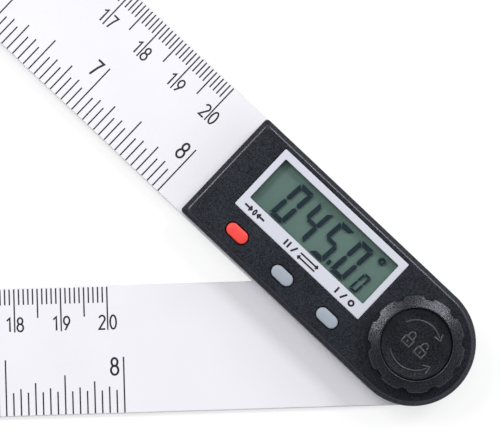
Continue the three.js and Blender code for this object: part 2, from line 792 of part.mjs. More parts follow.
// A button from its stem's tip: stem, flange kept under the roof, and the cap with a soft edge.
function button() {
  const flangeTop = ceiling - runningClearance - buttonBottom();
  const flangeBottom = flangeTop - buttonFlangeThickness;
  const capTopLevel = housingTop + buttonRise - buttonBottom();
  const stem = disc(buttonStemRadius, flangeBottom + buttonFlangeThickness / 2, smallRoundSteps);
  const flange = extruded(
    obround(buttonLength + 2 * buttonFlange, buttonWidth + 2 * buttonFlange),
    buttonFlangeThickness,
  );
  const cap = [[flangeTop - buttonFlangeThickness / 2, obround(buttonLength, buttonWidth)]];
  for (let i = 0; i <= shoulderSteps; i += 1) {
    const turn = (Math.PI / 2) * (i / shoulderSteps);
    const inset = buttonEdgeRadius * (1 - Math.cos(turn));
    const drop = buttonEdgeRadius * (1 - Math.sin(turn));
    cap.push([capTopLevel - drop, obround(buttonLength, buttonWidth, inset)]);
  }
  return stem.add(flange.translate([0, 0, flangeBottom])).add(lofted(cap));
}

function buttonBottom() {
  return boardTop + switchHeight + plungerHeight + buttonTravel + runningClearance / 2;
}

// Cover: a cup round the coin cell with two tabs that turn over the arm's ledge, and a slot
// for a coin in its flat back.
function batteryCover() {
  const ringHeight = upperArmTop + runningClearance + coverTabHeight - upperArmBottom;
  const cup = disc(coinRadius + coinPlay, ringHeight).translate([0, 0, coverFloor]);
  let cover = disc(coverRadius, coverFloor).add(disc(coverRingOuter, ringHeight).subtract(cup));
  for (const turn of [0, 180]) {
    const innerRadius = coverRingOuter - coverRingWall / 2;
    const outerRadius = coverRingOuter + coverTabReach;
    const tab = ringSector(innerRadius, outerRadius, coverTabHeight, turn, coverTabSweepDegrees);
    cover = cover.add(tab.translate([0, 0, ringHeight - coverTabHeight]));
  }
  const slot = obround(coverSlotLength, coverSlotWidth);
  const slotCut = extruded(slot, coverSlotDepth + cutOverrun).translate([0, 0, -cutOverrun]);
  return cover.subtract(slotCut);
}

function coinCell() {
  return turned([
    [0, 0],
    [coinRadius, 0],
    [coinRadius, coinHeight - coinCapHeight],
    [coinRadius - coinCapInset, coinHeight - coinCapHeight],
    [coinRadius - coinCapInset, coinHeight],
    [0, coinHeight],
  ]);
}

// The cradle keeps the coin cell in place under the board, with a mouth for the side contact.
function batteryCradle() {
  const height = boardBottom - cradleBottom();
  const mouth = block(cradleOuter + cutOverrun, cradleMouthWidth, height + 2 * cutOverrun);
  const mouthPlace = [-(cradleOuter + cutOverrun) / 2, 0, -cutOverrun];
  return ring(cradleOuter, cradleInner, height).subtract(mouth.translate(mouthPlace));
}

function cradleBottom() {
  return upperArmTop + runningClearance + coverTabHeight + 2 * runningClearance;
}

// Side contact: a foot under the board and a leaf down the rim of the cell, which it all but
// touches. Its x runs from the middle of the cell.
function plusContact() {
  const leafNear = -(coinRadius + runningClearance);
  const leafFar = leafNear - contactThickness;
  const footEnd = leafFar - contactFootLength;
  const height = boardBottom - cradleBottom();
  return sideView([
    [leafFar, 0],
    [leafNear, 0],
    [leafNear, height],
    [footEnd, height],
    [footEnd, height - contactThickness],
    [leafFar, height - contactThickness],
  ], contactWidth);
}

// Top contact: a foot under the board and a springy leaf bent down to the cell's cap.
function minusContact() {
  const top = contactSpace;
  const low = runningClearance;
  const lip = contactFootLength / 2;
  return sideView([
    [-lip, low],
    [lip, low],
    [lip + contactFootLength, top - contactThickness],
    [lip + 2 * contactFootLength, top - contactThickness],
    [lip + 2 * contactFootLength, top],
    [lip + contactFootLength - contactThickness, top],
    [lip - contactThickness / 2, low + contactThickness],
    [-lip, low + contactThickness],
  ], contactWidth);
}

// The spring washer is a shallow cone, wide side down.
function springWasher() {
  const bore = boltShankRadius + clampBoreClearance;
  const rise = springWasherHeight - springWasherThickness;
  return turned([
    [springWasherRadius, 0],
    [springWasherRadius, springWasherThickness],
    [bore, springWasherHeight],
    [bore, rise],
    [springWasherRadius, 0],
  ]);
}

// Knob: a straight fluted side, a rounded shoulder up to a thin rim, a recess for the cap, the
// nut's pocket from below and the room where the clip and the stud's tip stand.
// One straight-sided flute that narrows towards its floor, cut at angle zero.
function knobFlute(height) {
  const floorX = knobRadius - knobFluteDepth;
  const mouthX = knobRadius + cutOverrun;
  const spread = (knobFluteMouth - knobFluteFloor) / 2 / knobFluteDepth;
  const floorHalf = knobFluteFloor / 2;
  const mouthHalf = floorHalf + spread * (mouthX - floorX);
  const corners = [[floorX, -floorHalf], [mouthX, -mouthHalf], [mouthX, mouthHalf], [floorX, floorHalf]];
  return extruded(corners.map(([x, y]) => new THREE.Vector2(x, y)), height);
}

function lockKnob() {
  const height = knobTop - knobBottom;
  const rimRadius = knobRecessRadius + knobRimWidth;
  const profile = [[0, 0], [knobRadius - knobBottomChamfer, 0], [knobRadius, knobBottomChamfer]];
  for (let i = 0; i <= shoulderSteps; i += 1) {
    const turn = (Math.PI / 2) * (i / shoulderSteps);
    const radius = rimRadius + (knobRadius - rimRadius) * Math.cos(turn);
    profile.push([radius, knobSideHeight + (height - knobSideHeight) * Math.sin(turn)]);
  }
  profile.push([0, height]);
  let knob = turned(profile);
  const flute = knobFlute(height + 2 * cutOverrun).translate([0, 0, -cutOverrun]);
  for (let i = 0; i < knobFluteCount; i += 1) {
    knob = knob.subtract(flute.rotate([0, 0, (360 * i) / knobFluteCount]));
  }
  const capSeat = capBottom - knobBottom;
  const pocketHeight = nutTop - knobBottom;
  const recess = disc(knobRecessRadius, height - capSeat + cutOverrun);
  const room = disc(nutWidth / 2 - nutShelf, capSeat + cutOverrun);
  const pocket = hexagon(nutWidth + 2 * seatClearance, pocketHeight + cutOverrun);
  return knob
    .subtract(recess.translate([0, 0, capSeat]))
    .subtract(room)
    .subtract(pocket.translate([0, 0, -cutOverrun]));
}

function hexagon(widthAcrossFlats, height) {
  const cornerRadius = widthAcrossFlats / 2 / Math.cos(Math.PI / hexSides);
  return disc(cornerRadius, height, hexSides);
}

function knobNut() {
  const bore = disc(boltShankRadius + runningClearance, nutHeight + 2 * cutOverrun);
  return hexagon(nutWidth, nutHeight).subtract(bore.translate([0, 0, -cutOverrun]));
}

// Lower arm, with everything that is fixed to its pivot bolt.
const lowerArm = new THREE.Group();
lowerArm.rotation.z = Math.PI;
addPiece(lowerArm, 'lower_ruler', lowerRuler(), whitePlastic, 0, 0, 0);
addPiece(lowerArm, 'pivot_bolt', pivotBolt(), brightSteel, 0, 0, 0);
addPiece(lowerArm, 'hub_bush', hubBush(), brass, 0, 0, armThickness);
addPiece(lowerArm, 'encoder_rotor', encoderRotor(), boardGreen, 0, 0, rotorBottom);
const washerBore = hubBushRadius + runningClearance;
const pivotWasher = ring(pivotWasherRadius, washerBore, pivotWasherThickness);
addPiece(lowerArm, 'pivot_washer', pivotWasher, nylon, 0, 0, armThickness);
addPiece(lowerArm, 'retaining_clip', retainingClip(), springSteel, 0, 0, clipBottom + runningClearance / 2);

// Upper arm, with the housing and all that it holds.
const upperArm = new THREE.Group();
upperArm.rotation.z = Math.PI - THREE.MathUtils.degToRad(armAngleDegrees);
addPiece(upperArm, 'upper_ruler', upperRuler(), whitePlastic, 0, 0, upperArmBottom);
addPiece(upperArm, 'housing_shell', housingShell(), darkPlastic, 0, 0, upperArmTop);
const bezelBottom = housingTop - bezelSink - bezelThickness;
addPiece(upperArm, 'display_bezel', displayBezel(), bezelSilver, displayX, bezelY, bezelBottom);
addPiece(upperArm, 'display_lens', displayLens(), clearPlastic, displayX, windowY, ceiling);
const glassBottom = ceiling - glassHeadroom - glassThickness;
const glass = block(glassLength, glassWidth, glassThickness);
addPiece(upperArm, 'lcd_glass', glass, clearPlastic, displayX, windowY, glassBottom);
const reflectorWidth = glassWidth - 2 * (zebraWidth + seatClearance);
const reflector = block(glassLength - 2 * seatClearance, reflectorWidth, reflectorThickness);
const reflectorBottom = glassBottom - reflectorThickness;
addPiece(upperArm, 'lcd_reflector', reflector, reflectorFilm, displayX, windowY, reflectorBottom);
addPiece(upperArm, 'lcd_frame', displayFrame(), framePlastic, displayX, windowY, boardTop);
const zebraY = (glassWidth - zebraWidth) / 2;
const zebra = block(glassLength - 2 * zebraEndInset, zebraWidth, glassBottom - boardTop);
addPiece(upperArm, 'zebra_strip_upper', zebra, contactRubber, displayX, windowY - zebraY, boardTop);
addPiece(upperArm, 'zebra_strip_lower', zebra, contactRubber, displayX, windowY + zebraY, boardTop);
addPiece(upperArm, 'circuit_board', circuitBoard(), boardGreen, boardStart, 0, boardBottom);
const chipX = (boardStart + nearPostX) / 2;
const chipY = ribbonY - ribbonWidth / 2 - chipToRibbonGap - chipRadius;
addPiece(upperArm, 'chip_blob', chipBlob(), chipEpoxy, chipX, chipY, boardBottom - chipHeight);
buttonPlaces.forEach((x, i) => {
  addPiece(upperArm, switchNames[i], buttonSwitch(), switchBlack, x, buttonRowY, boardTop);
  const look = buttonNames[i] === 'zero_button' ? redPlastic : greyPlastic;
  addPiece(upperArm, buttonNames[i], button(), look, x, buttonRowY, buttonBottom());
});
addPiece(upperArm, 'battery_cradle', batteryCradle(), framePlastic, batteryX, 0, cradleBottom());
addPiece(upperArm, 'coin_cell', coinCell(), brightSteel, batteryX, 0, coinBottom);
addPiece(upperArm, 'battery_contact_plus', plusContact(), springSteel, batteryX, 0, cradleBottom());
addPiece(upperArm, 'battery_contact_minus', minusContact(), springSteel, batteryX, 0, coinTop);
addPiece(upperArm, 'battery_cover', batteryCover(), darkPlastic, batteryX, 0, upperArmBottom);
addPiece(upperArm, 'encoder_stator', encoderStator(), boardGreen, 0, 0, statorBottom);
addPiece(upperArm, 'ribbon_cable', ribbonCable(), ribbonFilm, 0, ribbonY, statorTop);
postPlaces.forEach(([x, y], i) => {
  const rulerLeft = armThickness - housingScrewSink - housingScrewHeadHeight;
  const shankLength = rulerLeft + postHeight - housingScrewTipGap;
  const solid = screw(
    housingScrewHeadRadius,
    housingScrewHeadHeight,
    housingScrewShankRadius,
    shankLength,
  );
  addPiece(upperArm, `housing_screw_${i + 1}`, solid, springSteel, x, y, upperArmBottom + housingScrewSink);
});
bossPlaces.forEach(([x, y], i) => {
  const shankLength = boardThickness + boardScrewDepth;
  const solid = screw(boardScrewHeadRadius, boardScrewHeadHeight, boardScrewShankRadius, shankLength);
  addPiece(upperArm, `board_screw_${i + 1}`, solid, springSteel, x, y, boardBottom - boardScrewHeadHeight);
});

// Clamp and knob, on the lower arm's stud.
const knobStack = new THREE.Group();
const clampBore = boltShankRadius + clampBoreClearance;
const clampWasher = ring(clampWasherRadius, clampBore, clampWasherThickness);
addPiece(knobStack, 'clamp_washer', clampWasher, brightSteel, 0, 0, clampBottom);
addPiece(knobStack, 'spring_washer', springWasher(), springSteel, 0, 0, springWasherBottom);
addPiece(knobStack, 'knob_nut', knobNut(), brass, 0, 0, nutBottom);
addPiece(knobStack, 'lock_knob', lockKnob(), knobPlastic, 0, 0, knobBottom);
const knobCap = disc(knobRecessRadius - seatClearance, knobCapThickness);
addPiece(knobStack, 'knob_cap', knobCap, knobPlastic, 0, 0, capBottom);

const angleFinder = new THREE.Group();
angleFinder.add(lowerArm, upperArm, knobStack);
export default angleFinder;
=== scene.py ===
import json
import math

import bmesh
import bpy
from mathutils import Matrix, Quaternion, Vector


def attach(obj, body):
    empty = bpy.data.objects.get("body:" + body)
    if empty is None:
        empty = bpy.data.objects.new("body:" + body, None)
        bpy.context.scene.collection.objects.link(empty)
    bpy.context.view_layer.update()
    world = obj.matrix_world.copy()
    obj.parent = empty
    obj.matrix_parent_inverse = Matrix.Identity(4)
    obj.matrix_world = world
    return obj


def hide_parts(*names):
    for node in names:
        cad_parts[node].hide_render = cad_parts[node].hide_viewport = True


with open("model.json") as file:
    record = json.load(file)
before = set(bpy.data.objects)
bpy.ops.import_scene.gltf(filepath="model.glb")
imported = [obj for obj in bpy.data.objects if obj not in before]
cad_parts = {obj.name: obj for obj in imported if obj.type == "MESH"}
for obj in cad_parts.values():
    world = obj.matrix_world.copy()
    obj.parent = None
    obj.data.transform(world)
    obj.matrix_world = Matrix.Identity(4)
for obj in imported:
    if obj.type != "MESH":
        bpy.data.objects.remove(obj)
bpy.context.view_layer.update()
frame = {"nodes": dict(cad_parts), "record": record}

MM = 0.001
UPPER_TURN = math.radians(135)
LOWER_TURN = math.radians(180)


# Places read from the frame

def span(node, turn=0.0):
    """Lowest and highest corner of a CAD node, in millimetres, in axes turned by turn."""
    back = Matrix.Rotation(-turn, 3, "Z")
    points = [back @ v.co / MM for v in frame["nodes"][node].data.vertices]
    low = Vector([min(p[i] for p in points) for i in range(3)])
    high = Vector([max(p[i] for p in points) for i in range(3)])
    return low, high


LOWER_ARM = span("lower_ruler", LOWER_TURN)
UPPER_ARM = span("upper_ruler", UPPER_TURN)
HOUSING = span("housing_shell", UPPER_TURN)
BEZEL = span("display_bezel", UPPER_TURN)
LENS = span("display_lens", UPPER_TURN)
GLASS = span("lcd_glass", UPPER_TURN)
REFLECTOR = span("lcd_reflector", UPPER_TURN)
KNOB = span("lock_knob")
KNOB_CAP = span("knob_cap")
NUT = span("knob_nut")
ARM_LENGTH = UPPER_ARM[1].x
HOUSING_LENGTH = HOUSING[1].x
HOUSING_WIDTH = HOUSING[1].y - HOUSING[0].y
KNOB_RADIUS = (KNOB[1].x - KNOB[0].x) / 2

# Shapes that the frame's boxes don't give
HOUSING_CORNER = 0.8
HOUSING_CORNER_SPREAD = 0.3
HOUSING_BEVEL = 1.0
HOUSING_FLOOR_CHAMFER = 0.2
HOUSING_WALL = 1.5
HOUSING_ROOF = 1.4
HOUSING_EDGE_SOFTNESS = 0.25
SEAT_GAP = 0.15
SEAT_LIP = 0.1
BEZEL_CORNER = 0.3
BEZEL_CHAMFER = 0.15
BEZEL_RIM = 0.4
BEZEL_SOFTNESS = 0.1
WINDOW_INSET = 0.7
WINDOW_CORNER = 0.3
WINDOW_LIP = 0.06
REFLECTOR_GAP = 0.04
REFLECTOR_CORNER = 0.4
REFLECTOR_RIM = 0.3
REFLECTOR_SOFTNESS = 0.05
BUTTON_GAP = 0.25
BUTTON_HOLE_LIP = 0.05
BUTTON_FLANGE = 0.6
BUTTON_FOOT_INSET = 0.6
BUTTON_EDGE = 0.35
BUTTON_CROWN = 0.08
BUTTON_RIDGE = 0.12
CLAMP_RECESS_RADIUS = 7.5
CLAMP_RECESS_LIP = 0.12
KNOB_FLUTES = 10
KNOB_FLUTE_DEPTH = 0.6
KNOB_FLUTE_FLOOR = 1.4
KNOB_FLUTE_MOUTH = 2.5
KNOB_FLUTE_SOFTNESS = 0.1
KNOB_PLAIN_RIM = 0.2
KNOB_SIDE_HEIGHT = 5.1
KNOB_RECESS_RADIUS = 7.6
KNOB_BORE_RADIUS = 3.8
KNOB_FOOT_CHAMFER = 0.3
KNOB_EDGE_SOFTNESS = 0.2
KNOB_LIP_RADIUS = 0.16
KNOB_CROWN_BEND = 0.15
NUT_RECESS_RADIUS = 4.8
OVERRUN = 1.0
SMALLEST_CORNER = 0.05

# Steps of the round shapes
CORNER_STEPS = 8
END_STEPS = 72
FLARE_STEPS = 3
BUTTON_EDGE_STEPS = 8
BUTTON_CROWN_STEPS = 6
KNOB_STEPS = 720
KNOB_CROWN_STEPS = 12
KNOB_EDGE_STEPS = 5
KNOB_LIP_STEPS = 8
CAP_STEPS = 160
SHACKLE_STEPS = 12
RELIEF_ARROW_STEPS = 40
DEGREE_STEPS = 40
POWER_RING_STEPS = 36


# Outlines, as lists of (x, y)

def arc(x, y, radius, start, end, steps, ratio=1.0):
    """Points of an arc in degrees, both ends included. ratio makes it an ellipse, taller in y."""
    points = []
    for i in range(steps + 1):
        turn = math.radians(start + (end - start) * i / steps)
        points.append((x + radius * math.cos(turn), y + radius * ratio * math.sin(turn)))
    return points


def circle(radius, steps, x, y):
    return arc(x, y, radius, 0, 360 * (1 - 1 / steps), steps - 1)


def rounded_rectangle(length, width, radius, inset, x, y, steps=CORNER_STEPS):
    half_x = length / 2 - inset
    half_y = width / 2 - inset
    corner = max(radius - inset, SMALLEST_CORNER)
    points = []
    for side_x, side_y, start in ((1, -1, -90), (1, 1, 0), (-1, 1, 90), (-1, -1, 180)):
        middle_x = x + side_x * (half_x - corner)
        middle_y = y + side_y * (half_y - corner)
        points += arc(middle_x, middle_y, corner, start, start + 90, steps)
    return points


def box_outline(box, corner, grow=0.0):
    """A function of inset: a box's outline seen from above, grown on every side."""
    low, high = box
    x, y = (low.x + high.x) / 2, (low.y + high.y) / 2
    length, width = high.x - low.x + 2 * grow, high.y - low.y + 2 * grow

    def outline(inset):
        return rounded_rectangle(length, width, corner, inset, x, y)

    return outline


def obround(length, width, inset, x, y, steps=24):
    radius = width / 2 - inset
    reach = (length - width) / 2
    right = arc(x + reach, y, radius, -90, 90, steps)
    return right + arc(x - reach, y, radius, 90, 270, steps)


def housing_outline(inset):
    """Round about the pivot, square with small corners at the far end."""
    end = HOUSING_LENGTH - inset
    half = HOUSING_WIDTH / 2 - inset
    corner = HOUSING_CORNER + HOUSING_CORNER_SPREAD * inset
    low = arc(end - corner, corner - half, corner, -90, 0, CORNER_STEPS)
    high = arc(end - corner, half - corner, corner, 0, 90, CORNER_STEPS)
    return low + high + arc(0, 0, half, 90, 270, END_STEPS)


def softened(profile, radius, steps=4):
    """Rounds the inner corners of an open line of points."""
    line = [Vector(p) for p in profile]
    result = [tuple(line[0])]
    for before, corner, after in zip(line, line[1:], line[2:]):
        reach = min(radius, (corner - before).length / 2, (after - corner).length / 2)
        start = corner + (before - corner).normalized() * reach
        end = corner + (after - corner).normalized() * reach
        for i in range(steps + 1):
            t = i / steps
            point = start * (1 - t) ** 2 + corner * 2 * t * (1 - t) + end * t ** 2
            result.append(tuple(point))
    return result + [tuple(line[-1])]


# Solids, as (vertices, faces)

def side_faces(count, size, closed=False):
    """Faces from each of count rings of size points to the next, and back to the first if closed."""
    faces = []
    for i in range(count if closed else count - 1):
        low, high = size * i, size * ((i + 1) % count)
        for k in range(size):
            after = (k + 1) % size
            faces.append((low + k, low + after, high + after, high + k))
    return faces


def tube_faces(count, size, closed=False):
    """Side faces, with an end face before and after them unless closed."""
    sides = side_faces(count, size, closed)
    if closed:
        return sides
    return [tuple(reversed(range(size)))] + sides + [tuple(range(size * (count - 1), size * count))]


def loft(levels):
    """A solid through outlines of equal count, each given as (height, outline)."""
    vertices = [(x, y, z) for z, outline in levels for x, y in outline]
    return vertices, tube_faces(len(levels), len(levels[0][1]))


def turned(profile, steps=128, reach=None):
    """A solid turned about z from (radius, height) points. They start and end on the axis, or
    go once round a ring's section. reach(radius, angle) may draw a point in, as a flute does."""
    solid = profile[0][0] == 0
    rings = profile[1:-1] if solid else profile
    vertices = []
    for radius, height in rings:
        for i in range(steps):
            angle = 2 * math.pi * i / steps
            r = reach(radius, angle) if reach else radius
            vertices.append((r * math.cos(angle), r * math.sin(angle), height))
    faces = side_faces(len(rings), steps, closed=not solid)
    if solid:
        foot = len(vertices)
        last = foot - steps
        vertices += [(0.0, 0.0, profile[0][1]), (0.0, 0.0, profile[-1][1])]
        for i in range(steps):
            after = (i + 1) % steps
            faces += [(foot, after, i), (last + i, last + after, foot + 1)]
    return vertices, faces


def prism(outline, low, high):
    return loft([(low, outline), (high, outline)])


def box_solid(x0, x1, y0, y1, z0, z1):
    return prism([(x0, y0), (x1, y0), (x1, y1), (x0, y1)], z0, z1)


def plate(box, corner, profile):
    """A plate on a box's outline, through (inset, height) points."""
    outline = box_outline(box, corner)
    return loft([(z, outline(inset)) for inset, z in profile])


def joined(solids):
    vertices = []
    faces = []
    for part_vertices, part_faces in solids:
        start = len(vertices)
        vertices += part_vertices
        faces += [tuple(start + i for i in face) for face in part_faces]
    return vertices, faces


# The least cosine of half a bend, so that a sharp bend's corner doesn't run far out
MITRE_LIMIT = 0.5


def mitred_sides(line, width, closed):
    """The way from each point of a path to the left side of a band of even width."""
    count = len(line)
    sides = []
    for i, point in enumerate(line):
        into = None if i == 0 and not closed else (point - line[i - 1]).normalized()
        onward = None if i == count - 1 and not closed else (line[(i + 1) % count] - point).normalized()
        into = into or onward
        onward = onward or into
        across = Vector((-into.y - onward.y, into.x + onward.x)).normalized()
        mitre = max(across.dot(Vector((-into.y, into.x))), MITRE_LIMIT)
        sides.append(across * (width / 2 / mitre))
    return sides


def ribbon(points, width, low, high, closed=False):
    """A flat band of even width along a path."""
    line = [Vector(p) for p in points]
    vertices = []
    for point, side in zip(line, mitred_sides(line, width, closed)):
        left, right = point + side, point - side
        vertices += [(*left, low), (*right, low), (*right, high), (*left, high)]
    return vertices, tube_faces(len(line), 4, closed)


# Objects made from solids

def new_mesh(name, vertices, faces):
    mesh = bpy.data.meshes.new(name)
    mesh.from_pydata(vertices, [], faces)
    return mesh


def new_object(name, data):
    """An object in the scene, with a mesh, a lamp or a camera as its data."""
    item = bpy.data.objects.new(name, data)
    bpy.context.scene.collection.objects.link(item)
    return item


def carved(solid, cutters):
    """The solid with the cutters taken away."""
    base, *tools = [new_object("loose", new_mesh("loose", *shape)) for shape in [solid] + cutters]
    for tool in tools:
        step = base.modifiers.new("cut", "BOOLEAN")
        step.operation = "DIFFERENCE"
        step.solver = "MANIFOLD"
        step.object = tool
    depsgraph = bpy.context.evaluated_depsgraph_get()
    depsgraph.update()
    mesh = bpy.data.meshes.new_from_object(base.evaluated_get(depsgraph))
    vertices = [tuple(v.co) for v in mesh.vertices]
    faces = [tuple(p.vertices) for p in mesh.polygons]
    for item in [base] + tools:
        spare = item.data
        bpy.data.objects.remove(item)
        bpy.data.meshes.remove(spare)
    bpy.data.meshes.remove(mesh)
    return vertices, faces


def add_piece(name, solid, material, body, turn=0.0, crease=32, replaces=(), worn=None):
    """Makes a shaded object of a solid, turned about the pivot, that rides on a body. Faces for
    which worn(x, y, z, tilt) holds are as shiny as the rubbed edges of a grained moulding."""
    vertices, faces = solid
    mesh = new_mesh(name, [Vector(v) * MM for v in vertices], faces)
    mesh.validate()
    shape = bmesh.new()
    shape.from_mesh(mesh)
    bmesh.ops.recalc_face_normals(shape, faces=shape.faces)
    shape.to_mesh(mesh)
    shape.free()
    mesh.materials.append(MATERIALS[material])
    if worn:
        mesh.materials.append(MATERIALS["worn_plastic"])
        for face in mesh.polygons:
            tilt = math.degrees(math.acos(max(min(face.normal.z, 1.0), -1.0)))
            if worn(*(face.center / MM), tilt):
                face.material_index = 1
    mesh.transform(Matrix.Rotation(turn, 4, "Z"))
    mesh.shade_smooth()
    mesh.set_sharp_from_angle(angle=math.radians(crease))
    piece = new_object(name, mesh)
    normals = piece.modifiers.new("even_normals", "WEIGHTED_NORMAL")
    normals.keep_sharp = True
    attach(piece, body)
    if replaces:
        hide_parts(*replaces)


# Materials

MATERIALS = {}


class Nodes:
    """Short words for building a material's node tree."""

    def __init__(self, name):
        MATERIALS[name] = bpy.data.materials.new(name)
        MATERIALS[name].use_nodes = True
        self.tree = MATERIALS[name].node_tree
        self.tree.nodes.clear()
        self.output = self.tree.nodes.new("ShaderNodeOutputMaterial")
        self.place = self.add("ShaderNodeTexCoord").outputs["Object"]

    def add(self, kind, values=None, **settings):
        node = self.tree.nodes.new(kind)
        for key, value in settings.items():
            setattr(node, key, value)
        for key, value in (values or {}).items():
            node.inputs[key].default_value = value
        return node

    def link(self, source, target):
        self.tree.links.new(source, target)

    def noise(self, size, detail=3.0, roughness=0.55, stretch=None):
        """Noise with features of about size millimetres."""
        values = {"Scale": 1 / (size * MM), "Detail": detail, "Roughness": roughness}
        node = self.add("ShaderNodeTexNoise", values)
        place = self.place
        if stretch:
            mapping = self.add("ShaderNodeMapping", {"Scale": stretch})
            self.link(place, mapping.inputs["Vector"])
            place = mapping.outputs["Vector"]
        self.link(place, node.inputs["Vector"])
        return node.outputs["Fac"]

    def pebbles(self, size):
        """Smooth cells of about size millimetres, like an eroded mould's grain."""
        node = self.add("ShaderNodeTexVoronoi", {"Scale": 1 / (size * MM)}, feature="SMOOTH_F1")
        self.link(self.place, node.inputs["Vector"])
        return node.outputs["Distance"]

    def ranged(self, source, low, high, start=0.3, end=0.7):
        """The source's stretch from start to end, spread from low to high."""
        node = self.add("ShaderNodeMapRange")
        for key, value in (("From Min", start), ("From Max", end), ("To Min", low), ("To Max", high)):
            node.inputs[key].default_value = value
        self.link(source, node.inputs["Value"])
        return node.outputs["Result"]

    def maths(self, operation, a, b):
        node = self.add("ShaderNodeMath", operation=operation)
        for socket, value in zip(node.inputs, (a, b)):
            if hasattr(value, "is_output"):
                self.link(value, socket)
            else:
                socket.default_value = value
        return node.outputs["Value"]

    def blend(self, factor, low, high):
        """A colour between low and high."""
        node = self.add("ShaderNodeMix", {"A": (*low, 1), "B": (*high, 1)}, data_type="RGBA")
        self.link(factor, node.inputs["Factor"])
        return node.outputs["Result"]

    def bump(self, height, depth, strength=1.0):
        """Bump of depth millimetres."""
        node = self.add("ShaderNodeBump", {"Strength": strength, "Distance": depth * MM})
        self.link(height, node.inputs["Height"])
        return node.outputs["Normal"]

    def principled(self, **values):
        names = {key.replace("_", " "): value for key, value in values.items()}
        return self.add("ShaderNodeBsdfPrincipled", names)

    def finish(self, shader):
        self.link(shader, self.output.inputs["Surface"])


def scaled(colour, factor):
    return tuple(min(channel * factor, 1.0) for channel in colour)


# What all moulded plastics share: pebbles measured in grains and their share of the bump, the
# stretches of noise that are used, and how far gloss strays from its mean
PEBBLE_SIZE = 1.7
PEBBLE_SHARE = 0.6
TONE_STRETCH = (0.34, 0.66)
GLINT_STRETCH = (0.36, 0.64)
GLOSS_STRETCH = (0.1, 0.4)
GLOSS_SPREAD = 0.06
PLAIN_SHEEN = (1.0, 1.0, 1.0)
COOL_SHEEN = (0.89, 0.9, 1.0)


def moulded_plastic(name, colour, roughness, grain, depth, cloud, spread, specular=0.5, speckle=0.0,
                    glint=0.0, sheen=PLAIN_SHEEN):
    """Plastic with an eroded grain of a size and depth, clouds of tone of a size and spread, and
    uneven gloss. speckle gives the grain a part in the tone, and glint in the highlights."""
    m = Nodes(name)
    tone = m.noise(cloud, detail=4.0)
    fine = m.noise(grain, detail=2.0, roughness=0.6)
    cells = m.pebbles(grain * PEBBLE_SIZE)
    shade = m.maths("ADD", m.maths("MULTIPLY", tone, 1 - speckle), m.maths("MULTIPLY", fine, speckle))
    dark, bright = scaled(colour, 1 - spread), scaled(colour, 1 + spread)
    shader = m.principled(Specular_IOR_Level=specular, Specular_Tint=(*sheen, 1))
    m.link(m.blend(m.ranged(shade, 0, 1, *TONE_STRETCH), dark, bright), shader.inputs["Base Color"])
    if glint:
        level = m.ranged(fine, specular * (1 - glint), specular * (1 + glint), *GLINT_STRETCH)
        m.link(level, shader.inputs["Specular IOR Level"])
    patches = m.maths("MULTIPLY", tone, fine)
    uneven = m.ranged(patches, roughness - GLOSS_SPREAD, roughness + GLOSS_SPREAD, *GLOSS_STRETCH)
    m.link(uneven, shader.inputs["Roughness"])
    height = m.maths("ADD", fine, m.maths("MULTIPLY", cells, PEBBLE_SHARE))
    m.link(m.bump(height, depth), shader.inputs["Normal"])
    m.finish(shader.outputs[0])


# Drawn lines run along x and are a fourteenth as wide as they are long
DRAWN_LENGTH = 0.48
DRAWN_STRETCH = (1.0, 14.0, 1.0)
DRAWN_DEPTH = 0.006
TARNISH_SIZE = 4.0
TARNISH_DARK = 0.86
TARNISH_BRIGHT = 1.06
METAL_SMOOTHER = 0.07
METAL_ROUGHER = 0.1


def metal(name, colour, roughness):
    """Metal with fine drawn lines along one way and a little uneven tarnish."""
    m = Nodes(name)
    drawn = m.noise(DRAWN_LENGTH, stretch=DRAWN_STRETCH)
    tone = m.noise(TARNISH_SIZE, detail=4.0)
    shader = m.principled(Metallic=1.0)
    mix = m.blend(m.ranged(tone, 0, 1), scaled(colour, TARNISH_DARK), scaled(colour, TARNISH_BRIGHT))
    m.link(mix, shader.inputs["Base Color"])
    uneven = m.ranged(drawn, roughness - METAL_SMOOTHER, roughness + METAL_ROUGHER)
    m.link(uneven, shader.inputs["Roughness"])
    m.link(m.bump(drawn, DRAWN_DEPTH), shader.inputs["Normal"])
    m.finish(shader.outputs[0])


HAZE_SIZE = 6.0
HAZE_DEPTH = 0.004
HAZE_STRENGTH = 0.4
HAZE_SPREAD = 0.05
GLASS_SHEEN = (0.9, 0.92, 0.92, 1)
GLASS_IOR = 1.45


def clear_sheet(name, tint, gloss_share, roughness):
    """A thin clear sheet: what is behind it shows, under a faint sheen that grows at the rim."""
    m = Nodes(name)
    haze = m.noise(HAZE_SIZE)
    through = m.add("ShaderNodeBsdfTransparent", {"Color": (*tint, 1)})
    sheen = m.add("ShaderNodeBsdfGlossy", {"Color": GLASS_SHEEN})
    m.link(m.ranged(haze, roughness, roughness + HAZE_SPREAD), sheen.inputs["Roughness"])
    m.link(m.bump(haze, HAZE_DEPTH, HAZE_STRENGTH), sheen.inputs["Normal"])
    edge = m.add("ShaderNodeFresnel", {"IOR": GLASS_IOR})
    mix = m.add("ShaderNodeMixShader")
    m.link(m.maths("MULTIPLY", edge.outputs[0], gloss_share), mix.inputs[0])
    m.link(through.outputs[0], mix.inputs[1])
    m.link(sheen.outputs[0], mix.inputs[2])
    m.finish(mix.outputs[0])


